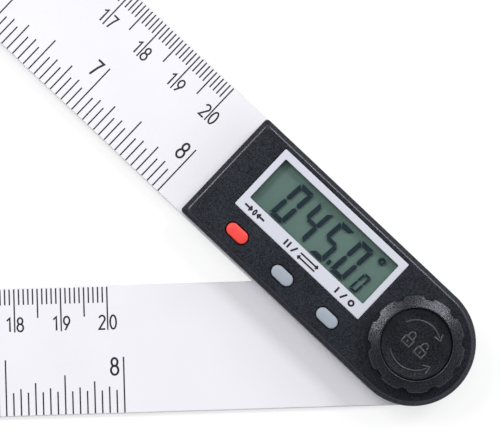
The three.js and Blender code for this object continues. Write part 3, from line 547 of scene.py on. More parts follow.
def make_materials():
    """Each plastic's numbers are its roughness, grain and depth, then cloud and spread."""
    moulded_plastic("white_plastic", (0.862, 0.849, 0.88), 0.36, 0.5, 0.004, 18.0, 0.012)
    moulded_plastic("housing_plastic", (0.0197, 0.0218, 0.0288), 0.32, 0.235, 0.026, 7.0, 0.55,
                    specular=0.24, speckle=0.85, glint=0.85)
    moulded_plastic("knob_plastic", (0.0095, 0.0098, 0.0125), 0.28, 0.19, 0.024, 5.0, 0.4,
                    specular=0.62, speckle=0.75, glint=0.8, sheen=COOL_SHEEN)
    moulded_plastic("worn_plastic", (0.014, 0.0145, 0.0175), 0.3, 1.5, 0.003, 5.0, 0.2,
                    specular=1.0, sheen=COOL_SHEEN)
    # The relief is the knob's own plastic coloured about four times lighter, a painted highlight along its
    # raised strokes
    moulded_plastic("relief_painted_highlight", (0.04, 0.041, 0.046), 0.3, 0.2, 0.006, 5.0, 0.25,
                    specular=0.9, speckle=0.5)
    moulded_plastic("bezel_silver", (0.64, 0.652, 0.718), 0.4, 0.12, 0.006, 8.0, 0.03, speckle=0.7)
    moulded_plastic("frame_plastic", (0.03, 0.03, 0.034), 0.5, 0.25, 0.02, 6.0, 0.1)
    moulded_plastic("red_button", (0.88, 0.067, 0.056), 0.38, 0.14, 0.008, 3.0, 0.05, speckle=0.3)
    moulded_plastic("grey_button", (0.345, 0.388, 0.434), 0.38, 0.14, 0.008, 3.0, 0.04, speckle=0.3)
    moulded_plastic("nylon", (0.74, 0.72, 0.66), 0.5, 0.3, 0.01, 4.0, 0.05)
    moulded_plastic("contact_rubber", (0.22, 0.23, 0.25), 0.7, 0.2, 0.02, 3.0, 0.2)
    moulded_plastic("chip_resin", (0.010, 0.010, 0.012), 0.3, 0.6, 0.02, 3.0, 0.1)
    moulded_plastic("switch_plastic", (0.02, 0.02, 0.022), 0.45, 0.2, 0.01, 3.0, 0.1)
    moulded_plastic("circuit_board", (0.02, 0.13, 0.055), 0.42, 0.4, 0.01, 5.0, 0.2)
    moulded_plastic("ribbon_film", (0.5, 0.24, 0.06), 0.4, 0.4, 0.01, 3.0, 0.1)
    moulded_plastic("reflector_film", (0.2, 0.277, 0.258), 0.6, 0.07, 0.006, 16.0, 0.10,
                    specular=0.2, speckle=0.35)
    moulded_plastic("print_ink", (0.018, 0.0175, 0.019), 0.45, 0.1, 0.004, 1.5, 0.25,
                    specular=0.4, speckle=0.4)
    moulded_plastic("label_ink", (0.012, 0.012, 0.014), 0.45, 0.1, 0.004, 1.5, 0.2,
                    specular=0.4, speckle=0.4)
    moulded_plastic("segment_crystal", (0.026, 0.039, 0.058), 0.6, 0.2, 0.004, 2.0, 0.15,
                    specular=0.1, speckle=0.3)
    metal("steel", (0.62, 0.63, 0.65), roughness=0.24)
    metal("spring_steel", (0.45, 0.455, 0.47), roughness=0.32)
    metal("brass", (0.62, 0.44, 0.16), roughness=0.28)
    clear_sheet("clear_lens", (0.96, 0.975, 0.97), gloss_share=0.5, roughness=0.05)
    clear_sheet("lcd_glass", (0.965, 0.985, 0.975), gloss_share=0.25, roughness=0.08)


make_materials()


# Carried-over CAD nodes: their slot's material, and smooth shading over their small facets

SMOOTH_BELOW = math.radians(28)


def smoothing_group():
    group = bpy.data.node_groups.new("smooth_by_angle", "GeometryNodeTree")
    for way in ("INPUT", "OUTPUT"):
        group.interface.new_socket("Geometry", in_out=way, socket_type="NodeSocketGeometry")
    start = group.nodes.new("NodeGroupInput")
    end = group.nodes.new("NodeGroupOutput")
    fold = group.nodes.new("GeometryNodeInputMeshEdgeAngle")
    sharp = group.nodes.new("FunctionNodeCompare")
    sharp.data_type = "FLOAT"
    sharp.operation = "GREATER_THAN"
    sharp.inputs["B"].default_value = SMOOTH_BELOW
    faces = group.nodes.new("GeometryNodeSetShadeSmooth")
    faces.domain = "FACE"
    edges = group.nodes.new("GeometryNodeSetShadeSmooth")
    edges.domain = "EDGE"
    edges.inputs["Shade Smooth"].default_value = False
    group.links.new(start.outputs[0], faces.inputs["Geometry"])
    group.links.new(faces.outputs[0], edges.inputs["Geometry"])
    group.links.new(fold.outputs["Unsigned Angle"], sharp.inputs["A"])
    group.links.new(sharp.outputs["Result"], edges.inputs["Selection"])
    group.links.new(edges.outputs[0], end.inputs[0])
    return group


def dress_nodes():
    group = smoothing_group()
    for part in frame["record"]["subparts"]:
        node = frame["nodes"][part["node"]]
        node.data.materials.clear()
        node.data.materials.append(MATERIALS[part["material_slot"]])
        smooth = node.modifiers.new("smooth_by_angle", "NODES")
        smooth.node_group = group


dress_nodes()


# Figures: strokes in a box one high, later scaled to the printed height

FIGURE_WIDTH = 0.44


def oval(x, y, radius, ratio, steps=28):
    return arc(x, y, radius, 90, 450, steps, ratio)[:-1]


FIGURES = {
    "0": [(oval(0.22, 0.5, 0.22, 2.27), True)],
    "1": [([(0.06, 0.80), (0.28, 1.0), (0.28, 0.0)], False)],
    "2": [(arc(0.22, 0.76, 0.21, 165, -25, 12, 1.14) + [(0.0, 0.0), (0.44, 0.0)], False)],
    "3": [(arc(0.2, 0.76, 0.19, 150, -90, 12, 1.26) + arc(0.2, 0.26, 0.23, 90, -150, 14, 1.13), False)],
    "4": [([(0.0, 0.3), (0.33, 1.0), (0.33, 0.0)], False), ([(-0.05, 0.3), (0.44, 0.3)], False)],
    "5": [([(0.4, 1.0), (0.07, 1.0), (0.04, 0.56)] + arc(0.2, 0.31, 0.23, 120, -150, 14, 1.34), False)],
    "6": [(oval(0.22, 0.3, 0.21, 1.43), True), ([(0.34, 1.0), (0.035, 0.42)], False)],
    "7": [([(0.0, 1.0), (0.44, 1.0), (0.29, 0.58), (0.17, 0.0)], False)],
    "8": [(oval(0.22, 0.76, 0.18, 1.33), True), (oval(0.22, 0.27, 0.22, 1.23), True)],
    "9": [(oval(0.22, 0.7, 0.21, 1.43), True), ([(0.405, 0.58), (0.1, 0.0)], False)],
}

# Strokes that cross each other have their faces this far apart, so that none lie in one plane
STROKE_STEP = 0.004


def figure(character, right, base, height, stroke, low, high):
    """One figure in an arm's axes, its right side at x = right and its foot at y = base. Read
    with the arm's tip on the left, so x falls to the right and y falls upwards."""
    scale = height - stroke
    width = FIGURE_WIDTH * scale
    solids = []
    for i, (points, closed) in enumerate(FIGURES[character]):
        line = [(right + stroke / 2 + width - scale * u, base - stroke / 2 - scale * v) for u, v in points]
        step = i * STROKE_STEP
        solids.append(ribbon(line, stroke, low + step, high - step, closed))
    return joined(solids)


# Printed scales, each counted from the arm's tip. The tables give a tick's length by the
# number of smallest divisions that it closes.

INK_LIFT = 0.015
TICK_WIDTH = 0.31
TICK_EDGE_GAP = 0.25
INCH = 25.4
CENTIMETRE_COUNT = 20
INCH_COUNT = 8
MILLIMETRE_TICKS = {10: 9.3, 5: 6.3, 1: 3.4}
SIXTEENTH_TICKS = {16: 12.0, 8: 8.4, 4: 6.9, 2: 5.7, 1: 4.9}
CENTIMETRE_FIGURE_HEIGHT = 3.3
CENTIMETRE_FIGURE_STROKE = 0.38
CENTIMETRE_FIGURE_GAP = 0.36
INCH_FIGURE_HEIGHT = 4.05
INCH_FIGURE_STROKE = 0.46
INCH_FIGURE_GAP = 0.95
SEVEN_SHIFT = 0.35


def tick(x, edge, lengths, index, low, high):
    """A tick at x that starts at the edge and runs inwards, as long as its index asks."""
    side = 1 if edge > 0 else -1
    start = edge - side * TICK_EDGE_GAP
    end = start - side * lengths[max(step for step in lengths if index % step == 0)]
    half = TICK_WIDTH / 2
    return box_solid(x - half, x + half, min(start, end), max(start, end), low, high)


def scale_ticks(half_width, low, high):
    ticks = []
    for i in range(1, 10 * CENTIMETRE_COUNT + 1):
        ticks.append(tick(ARM_LENGTH - i, -half_width, MILLIMETRE_TICKS, i, low, high))
    for i in range(1, 16 * INCH_COUNT + 1):
        ticks.append(tick(ARM_LENGTH - i * INCH / 16, half_width, SIXTEENTH_TICKS, i, low, high))
    return ticks


def scale_figures(half_width, low, high):
    """A centimetre's first figure is left of its tick and its second right, an inch's is left."""
    figures = []
    foot = TICK_EDGE_GAP + MILLIMETRE_TICKS[10] - half_width
    size = (CENTIMETRE_FIGURE_HEIGHT, CENTIMETRE_FIGURE_STROKE)
    advance = FIGURE_WIDTH * (CENTIMETRE_FIGURE_HEIGHT - CENTIMETRE_FIGURE_STROKE)
    shifts = (CENTIMETRE_FIGURE_GAP, -CENTIMETRE_FIGURE_GAP - advance - CENTIMETRE_FIGURE_STROKE)
    for i in range(1, CENTIMETRE_COUNT + 1):
        for character, shift in zip(str(i), shifts):
            figures.append(figure(character, ARM_LENGTH - 10 * i + shift, foot, *size, low, high))
    foot = half_width - TICK_EDGE_GAP - SIXTEENTH_TICKS[16] + INCH_FIGURE_HEIGHT
    for i in range(1, INCH_COUNT + 1):
        x = ARM_LENGTH - INCH * i + INCH_FIGURE_GAP + (SEVEN_SHIFT if i == 7 else 0.0)
        figures.append(figure(str(i), x, foot, INCH_FIGURE_HEIGHT, INCH_FIGURE_STROKE, low, high))
    return figures


def arm_scales(arm, box, turn):
    half_width = box[1].y
    levels = (box[1].z - INK_LIFT, box[1].z + INK_LIFT)
    add_piece(arm + "_ticks", joined(scale_ticks(half_width, *levels)), "print_ink", arm, turn)
    add_piece(arm + "_figures", joined(scale_figures(half_width, *levels)), "print_ink", arm, turn)


arm_scales("upper_arm", UPPER_ARM, UPPER_TURN)
arm_scales("lower_arm", LOWER_ARM, LOWER_TURN)


# Housing shell, finer than the CAD solid and with soft edges

BUTTONS = {"zero_button": "red_button", "hold_button": "grey_button", "power_button": "grey_button"}

# Where the housing's upper edge is rubbed: how far in and down, and at which slopes in degrees
RUBBED_WIDTH = 0.7
RUBBED_DEPTH = 0.5
RUBBED_TILTS = (3, 42)


def button_middle(name):
    low, high = span(name, UPPER_TURN)
    return (low.x + high.x) / 2, (low.y + high.y) / 2


def button_size(name):
    low, high = span(name, UPPER_TURN)
    return high.x - low.x - 2 * BUTTON_FLANGE, high.y - low.y - 2 * BUTTON_FLANGE


def button_outline(name, grow=0.0):
    """A function of inset: a button's outline, grown on every side."""
    x, y = button_middle(name)
    length, width = button_size(name)

    def outline(inset):
        return obround(length + 2 * grow, width + 2 * grow, inset, x, y)

    return outline


def flared_cut(outline, bottom, top, lip):
    """A cutter whose mouth opens out a little at the top, so that the hole has a soft edge."""
    levels = [(bottom, outline(0)), (top - lip, outline(0))]
    for i in range(1, FLARE_STEPS + 1):
        turn = math.radians(90 * i / FLARE_STEPS)
        levels.append((top - lip + lip * math.sin(turn), outline(-lip * (1 - math.cos(turn)))))
    levels.append((top + OVERRUN, outline(-lip)))
    return loft(levels)


def housing_cutters():
    """The cavity, the bezel's seat, the display's opening, the clamp's recess and button holes."""
    top = HOUSING[1].z
    ceiling = top - HOUSING_ROOF
    below = ceiling - OVERRUN
    mouth = CLAMP_RECESS_RADIUS + CLAMP_RECESS_LIP
    seat = box_outline(BEZEL, BEZEL_CORNER + SEAT_GAP, SEAT_GAP)
    opening = box_outline(LENS, BEZEL_CORNER, SEAT_GAP)
    cutters = [
        prism(housing_outline(HOUSING_WALL), HOUSING[0].z - OVERRUN, ceiling),
        flared_cut(seat, BEZEL[0].z, top, SEAT_LIP),
        prism(opening(0.0), below, top),
        turned([(0, below), (CLAMP_RECESS_RADIUS, below), (CLAMP_RECESS_RADIUS, top - CLAMP_RECESS_LIP),
                (mouth, top), (mouth, top + OVERRUN), (0, top + OVERRUN)]),
    ]
    for name in BUTTONS:
        cutters.append(flared_cut(button_outline(name, BUTTON_GAP), below, top, BUTTON_HOLE_LIP))
    return cutters


def rubbed_housing(x, y, z, tilt):
    rim = HOUSING_BEVEL + RUBBED_WIDTH
    side = HOUSING_WIDTH / 2 - rim
    near_rim = x > HOUSING_LENGTH - rim or abs(y) > side or (x < 0 and math.hypot(x, y) > side)
    return z > HOUSING[1].z - RUBBED_DEPTH and RUBBED_TILTS[0] < tilt < RUBBED_TILTS[1] and near_rim


def housing_shell():
    bottom, top = HOUSING[0].z, HOUSING[1].z
    profile = softened([
        (HOUSING_FLOOR_CHAMFER, bottom),
        (0.0, bottom + HOUSING_FLOOR_CHAMFER),
        (0.0, top - HOUSING_BEVEL),
        (HOUSING_BEVEL, top),
        (HOUSING_BEVEL + 2 * HOUSING_EDGE_SOFTNESS, top),
    ], HOUSING_EDGE_SOFTNESS)
    outside = loft([(z, housing_outline(inset)) for inset, z in profile])
    add_piece("housing_body", carved(outside, housing_cutters()), "housing_plastic", "upper_arm",
              UPPER_TURN, replaces=["housing_shell"], worn=rubbed_housing)


housing_shell()


# Buttons with a slightly crowned top

def push_button(name, material):
    low, high = span(name, UPPER_TURN)
    rim = high.z - BUTTON_CROWN
    outline = button_outline(name)
    levels = [(low.z, outline(BUTTON_FOOT_INSET)), (HOUSING[1].z - 2 * HOUSING_ROOF, outline(0.0))]
    for i in range(BUTTON_EDGE_STEPS + 1):
        turn = math.radians(90 * i / BUTTON_EDGE_STEPS)
        inset = BUTTON_EDGE * (1 - math.cos(turn))
        levels.append((rim - BUTTON_EDGE * (1 - math.sin(turn)), outline(inset)))
    width = button_size(name)[1]
    for i in range(1, BUTTON_CROWN_STEPS + 1):
        share = i / BUTTON_CROWN_STEPS
        inset = BUTTON_EDGE + share * (width / 2 - BUTTON_EDGE - BUTTON_RIDGE)
        levels.append((rim + BUTTON_CROWN * (1 - (1 - share) ** 2), outline(inset)))
    add_piece(name + "_cap", loft(levels), material, name, UPPER_TURN, replaces=[name])


for button_name, button_material in BUTTONS.items():
    push_button(button_name, button_material)


# Display: bezel, reflector, segments and the marks on its label strip

def display_bezel():
    bottom, top = BEZEL[0].z, BEZEL[1].z
    profile = softened([(0.0, bottom), (0.0, top - BEZEL_CHAMFER), (BEZEL_CHAMFER, top), (BEZEL_RIM, top)],
                       BEZEL_SOFTNESS)
    window = box_outline(LENS, WINDOW_CORNER, -WINDOW_INSET)
    cutter = flared_cut(window, bottom - OVERRUN, top, WINDOW_LIP)
    add_piece("bezel_frame", carved(plate(BEZEL, BEZEL_CORNER, profile), [cutter]), "bezel_silver",
              "upper_arm", UPPER_TURN, replaces=["display_bezel"])


def reflector_sheet():
    """The reflector behind the glass, a hair below it, with rounded corners."""
    top = REFLECTOR[1].z - REFLECTOR_GAP
    profile = softened([(0.0, REFLECTOR[0].z), (0.0, top), (REFLECTOR_RIM, top)], REFLECTOR_SOFTNESS)
    add_piece("reflector_sheet", plate(REFLECTOR, REFLECTOR_CORNER, profile), "reflector_film",
              "upper_arm", UPPER_TURN, replaces=["lcd_reflector"])


display_bezel()
reflector_sheet()

SEGMENT_LEVEL = 0.7
SEGMENT_THICKNESS = 0.02
SEGMENT_GAP = 0.07
SEGMENT_CORNER_CUT = 0.28
SEGMENT_TIP_SHARES = (0.6, 1.25)
DIGIT_SLANT = 0.0896
DIGIT_HEIGHT = 9.37
DIGIT_WIDTH = 3.83
DIGIT_STROKE = 1.03
DIGIT_PITCH = 5.84
FIRST_DIGIT_X = 41.15
DIGIT_FOOT_Y = 0.875
SMALL_DIGIT_SHARE = 0.5
SMALL_DIGIT_X = 17.9
SMALL_DIGIT_RISE = 0.07
POINT_SIZE = (0.72, 1.15)
POINT_CORNER = 0.05
POINT_PLACE = (24.6, -0.22)
DEGREE_RADIUS = 0.56
DEGREE_STROKE = 0.5
DEGREE_PLACE = (16.5, -8.05)
READING = "0450"
LIT_SEGMENTS = {"0": "abcdef", "4": "bcfg", "5": "acdfg"}
CRYSTAL_BASE = GLASS[0].z + SEGMENT_LEVEL
CRYSTAL_LEVELS = (CRYSTAL_BASE, CRYSTAL_BASE + SEGMENT_THICKNESS)


def segment_outlines(height, width, stroke):
    """The seven bars of an upright digit, as (right, up) points."""
    gap = SEGMENT_GAP * height / DIGIT_HEIGHT
    cut = stroke * SEGMENT_CORNER_CUT
    half = stroke / 2
    middle = height / 2
    tip_start, tip_end = (half * share for share in SEGMENT_TIP_SHARES)

    def flipped(points):
        return [(x, height - y) for x, y in reversed(points)]

    def mirrored(points):
        return [(width - x, y) for x, y in reversed(points)]

    top = [(cut, height), (width - cut, height), (width - stroke - gap, height - stroke),
           (stroke + gap, height - stroke)]
    left = [(0, height - cut - gap), (stroke, height - stroke - 2 * gap), (stroke, middle + half + gap),
            (tip_end, middle + 2 * gap), (tip_start, middle + 2 * gap), (0, middle + half)]
    bar = [(half + gap, middle), (stroke, middle + half - gap), (width - stroke, middle + half - gap),
           (width - half - gap, middle), (width - stroke, middle - half + gap),
           (stroke, middle - half + gap)]
    return {"a": top, "d": flipped(top), "f": left, "b": mirrored(left), "e": flipped(left),
            "c": flipped(mirrored(left)), "g": bar}


def shown_digit(character, x, foot, height, width, stroke):
    outlines = segment_outlines(height, width, stroke)
    solids = []
    for key in LIT_SEGMENTS[character]:
        outline = [(x - u - DIGIT_SLANT * v, foot - v) for u, v in outlines[key]]
        solids.append(prism(outline, *CRYSTAL_LEVELS))
    return solids


def display_reading():
    """Four large digits and a small one, with a point and a degree sign."""
    solids = []
    size = (DIGIT_HEIGHT, DIGIT_WIDTH, DIGIT_STROKE)
    for i, character in enumerate(READING):
        solids += shown_digit(character, FIRST_DIGIT_X - i * DIGIT_PITCH, DIGIT_FOOT_Y, *size)
    small = [measure * SMALL_DIGIT_SHARE for measure in size]
    solids += shown_digit("0", SMALL_DIGIT_X, DIGIT_FOOT_Y - SMALL_DIGIT_RISE, *small)
    point = rounded_rectangle(*POINT_SIZE, POINT_CORNER, 0.0, *POINT_PLACE, steps=2)
    solids.append(prism(point, *CRYSTAL_LEVELS))
    ring = circle(DEGREE_RADIUS, DEGREE_STEPS, *DEGREE_PLACE)
    solids.append(ribbon(ring, DEGREE_STROKE, *CRYSTAL_LEVELS, closed=True))
    add_piece("display_segments", joined(solids), "segment_crystal", "upper_arm", UPPER_TURN)


display_reading()

# Label strip: marks are placed from the middle of the button below them, left being larger x
LABEL_Y = 2.95
LABEL_HEIGHT = 1.5
LABEL_TOP = LABEL_Y - LABEL_HEIGHT / 2
LABEL_FOOT = LABEL_Y + LABEL_HEIGHT / 2
LABEL_LEVELS = (BEZEL[1].z - INK_LIFT, BEZEL[1].z + INK_LIFT)
LABEL_STROKE = 0.43
LABEL_BAR_WIDTH = 0.44
SLASH_LEAN = 0.8
NOUGHT_STROKE = 0.35
ZERO_MARK_SHIFT = 0.35
NOUGHT_RIGHT = -0.48
ZERO_ARROW = (2.75, 0.85)
ZERO_BARB = 0.55
HOLD_BARS = (4.3, 3.4)
HOLD_SLASH = 2.3
TURN_ARROW = (0.4, -4.4)
TURN_ARROW_RISE = 0.47
TURN_BARB = 0.42
TURN_STROKE = 0.85 * LABEL_STROKE
POWER_MARK_SHIFT = -0.1
POWER_BAR = 2.62
POWER_SLASH = 1.1
POWER_RING = -1.5


def arrow(tail, head, size, stroke):
    """A straight arrow between two points of the label strip."""
    start, end = Vector(tail), Vector(head)
    along = (end - start).normalized()
    across = Vector((-along.y, along.x))
    barbs = [end - along * size + across * size, end, end - along * size - across * size]
    low, high = LABEL_LEVELS
    shaft = ribbon([start, end - along * stroke / 2], stroke, low + STROKE_STEP, high - STROKE_STEP)
    return [shaft, ribbon(barbs, stroke, low, high)]


def label_bar(x):
    half = LABEL_BAR_WIDTH / 2
    return box_solid(x - half, x + half, LABEL_TOP, LABEL_FOOT, *LABEL_LEVELS)


def label_slash(x):
    return ribbon([(x, LABEL_FOOT), (x - SLASH_LEAN, LABEL_TOP)], LABEL_STROKE, *LABEL_LEVELS)


def zero_mark():
    """A nought between two arrows: set to zero."""
    x = button_middle("zero_button")[0] + ZERO_MARK_SHIFT
    solids = [figure("0", x + NOUGHT_RIGHT, LABEL_FOOT, LABEL_HEIGHT, NOUGHT_STROKE, *LABEL_LEVELS)]
    for side in (1, -1):
        tail, head = ((x + side * reach, LABEL_Y) for reach in ZERO_ARROW)
        solids += arrow(tail, head, ZERO_BARB, LABEL_STROKE)
    return solids


def hold_mark():
    """Two bars, a slash and an arrow each way: hold or turn round."""
    x = button_middle("hold_button")[0]
    solids = [label_bar(x + place) for place in HOLD_BARS] + [label_slash(x + HOLD_SLASH)]
    for side in (1, -1):
        ends = [(x + place, LABEL_Y + side * TURN_ARROW_RISE) for place in TURN_ARROW]
        tail, head = ends if side < 0 else ends[::-1]
        solids += arrow(tail, head, TURN_BARB, TURN_STROKE)
    return solids


def power_mark():
    """A bar, a slash and a ring: on or off."""
    x = button_middle("power_button")[0] + POWER_MARK_SHIFT
    ring = circle((LABEL_HEIGHT - LABEL_STROKE) / 2, POWER_RING_STEPS, x + POWER_RING, LABEL_Y)
    return [label_bar(x + POWER_BAR), label_slash(x + POWER_SLASH),
            ribbon(ring, LABEL_STROKE, *LABEL_LEVELS, closed=True)]


add_piece("label_marks", joined(zero_mark() + hold_mark() + power_mark()), "label_ink", "upper_arm",
          UPPER_TURN)


# Lock knob: fluted side, rounded shoulder, a lip round the recess and an upright recess wall

KNOB_RIM = KNOB_RECESS_RADIUS + KNOB_LIP_RADIUS
KNOB_SIDE_TOP = KNOB[0].z + KNOB_SIDE_HEIGHT

# Where the knob's shoulder is rubbed: how far down, and at which slopes in degrees
SHOULDER_DEPTH = 0.4
SHOULDER_TILTS = (24, 82)


def fluted(radius, angle):
    """Draws a radius in where a flute passes, with softly rounded edges."""
    if radius <= KNOB_RIM + KNOB_PLAIN_RIM:
        return radius
    step = 2 * math.pi / KNOB_FLUTES
    across = KNOB_RADIUS * math.sin(abs((angle + step / 2) % step - step / 2))
    spread = (KNOB_FLUTE_MOUTH - KNOB_FLUTE_FLOOR) / 2 / KNOB_FLUTE_DEPTH
    limit = KNOB_RADIUS - KNOB_FLUTE_DEPTH + max(across - KNOB_FLUTE_FLOOR / 2, 0.0) / spread
    soft = KNOB_FLUTE_SOFTNESS
    gap = max(soft - abs(radius - limit), 0.0) / soft
    return min(radius, limit) - gap * gap * soft / 4


def knob_profile():
    """Once round the knob's section: down the bore, out under the foot, up the side, over the
    crown and down the recess wall."""
    bottom, top = KNOB[0].z, KNOB[1].z
    floor = KNOB_CAP[0].z
    profile = [(KNOB_BORE_RADIUS, floor), (KNOB_BORE_RADIUS, NUT[1].z), (NUT_RECESS_RADIUS, NUT[1].z),
               (NUT_RECESS_RADIUS, bottom), (KNOB_RADIUS - KNOB_FOOT_CHAMFER, bottom),
               (KNOB_RADIUS, bottom + KNOB_FOOT_CHAMFER), (KNOB_RADIUS, KNOB_SIDE_TOP - KNOB_EDGE_SOFTNESS)]
    crown = []
    for i in range(KNOB_CROWN_STEPS + 1):
        share = i / KNOB_CROWN_STEPS
        bend = KNOB_CROWN_BEND * (1 - share) + 1 - KNOB_CROWN_BEND
        drop = (top - KNOB_SIDE_TOP) * (1 - share) * bend
        crown.append((KNOB_RADIUS + (KNOB_RIM - KNOB_RADIUS) * share, top - drop))
    edge = softened([profile[-1], crown[0], crown[1]], KNOB_EDGE_SOFTNESS, KNOB_EDGE_STEPS)
    lip = arc(KNOB_RIM, top - KNOB_LIP_RADIUS, KNOB_LIP_RADIUS, 100, 180, KNOB_LIP_STEPS)
    return profile + edge[1:-1] + crown[1:] + lip + [(KNOB_RECESS_RADIUS, floor)]


def rubbed_knob(x, y, z, tilt):
    """Whether a face is on the lip round the recess or on the shoulder."""
    lip = math.hypot(x, y) < KNOB_RIM and z > KNOB[1].z - KNOB_LIP_RADIUS
    return lip or (SHOULDER_TILTS[0] < tilt < SHOULDER_TILTS[1] and z > KNOB_SIDE_TOP - SHOULDER_DEPTH)


add_piece("knob_grip", turned(knob_profile(), KNOB_STEPS, fluted), "knob_plastic", "knob",
          replaces=["lock_knob"], worn=rubbed_knob)


CAP_EDGE_SOFTNESS = 0.15
CAP_DISH_DEPTH = 0.13
CAP_DISH_RADIUS = 5.9


def knob_cap_plate():
    low, top = KNOB_CAP[0].z, KNOB_CAP[1].z
    dish = top - CAP_DISH_DEPTH
    outer = (KNOB_CAP[1].x - KNOB_CAP[0].x) / 2
    profile = softened([(0, low), (outer, low), (outer, top), (outer - 2 * CAP_EDGE_SOFTNESS, top),
                        (CAP_DISH_RADIUS, dish), (0, dish)], CAP_EDGE_SOFTNESS)
    add_piece("knob_cap_plate", turned(profile, CAP_STEPS), "knob_plastic", "knob",
              replaces=["knob_cap"])


knob_cap_plate()

RELIEF_BASE = KNOB_CAP[1].z - CAP_DISH_DEPTH
RELIEF_HEIGHT = 0.24
RELIEF_STROKE = 0.4
RELIEF_SINK = 0.06
RELIEF_CREASE = 60
PADLOCK_WIDTH = 2.1
PADLOCK_HEIGHT = 3.1
PADLOCK_BODY = 1.6
PADLOCK_PITCH = 3.5
SHACKLE_SHARE = 0.62
OPEN_SHACKLE_DROP = 0.3
KEYHOLE_MARGIN = 0.5

# Each arrow's start and end in degrees and its radius, then how far its tip runs on and how
# far its barbs reach back and aside
RELIEF_ARROWS = ((112, 12, 5.05), (188, 292, 5.5))
ARROW_TIP = 0.7
BARB_BACK = 0.6
BARB_ASIDE = 0.95


def bead(points, closed=False, steps=8):
    """A raised stroke with a rounded back, along a path."""
    line = [Vector(p) for p in points]
    vertices = []
    for point, side in zip(line, mitred_sides(line, RELIEF_STROKE, closed)):
        vertices.append((*(point + side), RELIEF_BASE - RELIEF_SINK))
        for k in range(steps + 1):
            turn = math.pi * k / steps
            height = RELIEF_BASE + RELIEF_HEIGHT * math.sin(turn)
            vertices.append((*(point + side * math.cos(turn)), height))
        vertices.append((*(point - side), RELIEF_BASE - RELIEF_SINK))
    return vertices, tube_faces(len(line), steps + 3, closed)


def turned_points(points, angle):
    cos, sin = math.cos(angle), math.sin(angle)
    return [(u * cos - v * sin, u * sin + v * cos) for u, v in points]


def padlock(shut):
    """A padlock's strokes about its middle, as (points, closed)."""
    half, foot, head = PADLOCK_WIDTH / 2, -PADLOCK_HEIGHT / 2, PADLOCK_BODY - PADLOCK_HEIGHT / 2
    body = [(-half, foot), (half, foot), (half, head), (-half, head)]
    bow = half * SHACKLE_SHARE
    lift = PADLOCK_HEIGHT / 2 - bow
    shackle_end = head if shut else lift - OPEN_SHACKLE_DROP
    shackle = [(-bow, head)] + arc(0, lift, bow, 180, 0, SHACKLE_STEPS) + [(bow, shackle_end)]
    keyhole = [(0.0, foot + KEYHOLE_MARGIN), (0.0, head - KEYHOLE_MARGIN)]
    return ((body, True), (shackle, False), (keyhole, False))


def relief_arrow(start, end, radius):
    path = arc(0, 0, radius, start, end, RELIEF_ARROW_STEPS)
    tip = Vector(path[-1])
    along = (tip - Vector(path[-2])).normalized()
    across = Vector((-along.y, along.x))
    back = tip - along * BARB_BACK
    barbs = [back + across * BARB_ASIDE, tip + along * ARROW_TIP, back - across * BARB_ASIDE]
    return [bead(path), bead(barbs)]


def knob_relief():
    """Raised signs on the cap: a shut and an open padlock and an arrow each way round."""
    solids = []
    for side, shut in ((-1, True), (1, False)):
        for points, closed in padlock(shut):
            moved = [(u + side * PADLOCK_PITCH / 2, v) for u, v in points]
            solids.append(bead(turned_points(moved, UPPER_TURN - math.pi), closed))
    for start, end, radius in RELIEF_ARROWS:
        solids += relief_arrow(start, end, radius)
    # The relief's lighter colour is a painted highlight on the knob's plastic
    add_piece("knob_relief", joined(solids), "relief_painted_highlight", "knob", crease=RELIEF_CREASE)


knob_relief()


# Stage: floor, world, lamps and camera

FLOOR_SIZE = 4000.0
FLOOR_DROP = 0.02
FLOOR_GREY = (0.36, 0.36, 0.36, 1)
FLOOR_GRAIN = 60.0
FLOOR_ROUGHNESS = (0.85, 0.95)
FLOOR_GLOW = 0.68


def floor_material():
    """White paper: matt, with a glow that is seen and mirrored but lights no matt surface."""
    m = Nodes("floor_white")
    matt = m.principled(Base_Color=FLOOR_GREY, Specular_IOR_Level=0.0)
    m.link(m.ranged(m.noise(FLOOR_GRAIN, detail=2.0), *FLOOR_ROUGHNESS), matt.inputs["Roughness"])
    glow = m.add("ShaderNodeEmission", {"Color": (1, 1, 1, 1)})
    path = m.add("ShaderNodeLightPath")
    seen = m.maths("MAXIMUM", path.outputs["Is Camera Ray"], path.outputs["Is Glossy Ray"])
    seen = m.maths("MAXIMUM", seen, path.outputs["Is Transmission Ray"])
    m.link(m.maths("MULTIPLY", seen, FLOOR_GLOW), glow.inputs["Strength"])
    total = m.add("ShaderNodeAddShader")
    m.link(matt.outputs[0], total.inputs[0])
    m.link(glow.outputs[0], total.inputs[1])
    m.finish(total.outputs[0])


def make_floor():
    floor_material()
    half = FLOOR_SIZE / 2 * MM
    z = -FLOOR_DROP * MM
    corners = [(-half, -half, z), (half, -half, z), (half, half, z), (-half, half, z)]
    mesh = new_mesh("floor", corners, [(0, 1, 2, 3)])
    mesh.materials.append(MATERIALS["floor_white"])
    floor = new_object("floor", mesh)


# Heights of the sky, from the horizon at 0 to overhead at 1, with the light that comes from each
WORLD_LEVELS = ((0.0, 0.08), (0.25, 0.36), (0.48, 0.8), (0.66, 0.72), (0.84, 0.16), (0.95, 0.07))
WORLD_TINT = (0.97, 0.985, 1.04)

# The side on which the room is brighter, and by how much
WORLD_BRIGHT_SIDE = math.radians(85)
WORLD_SLOPE = 0.3


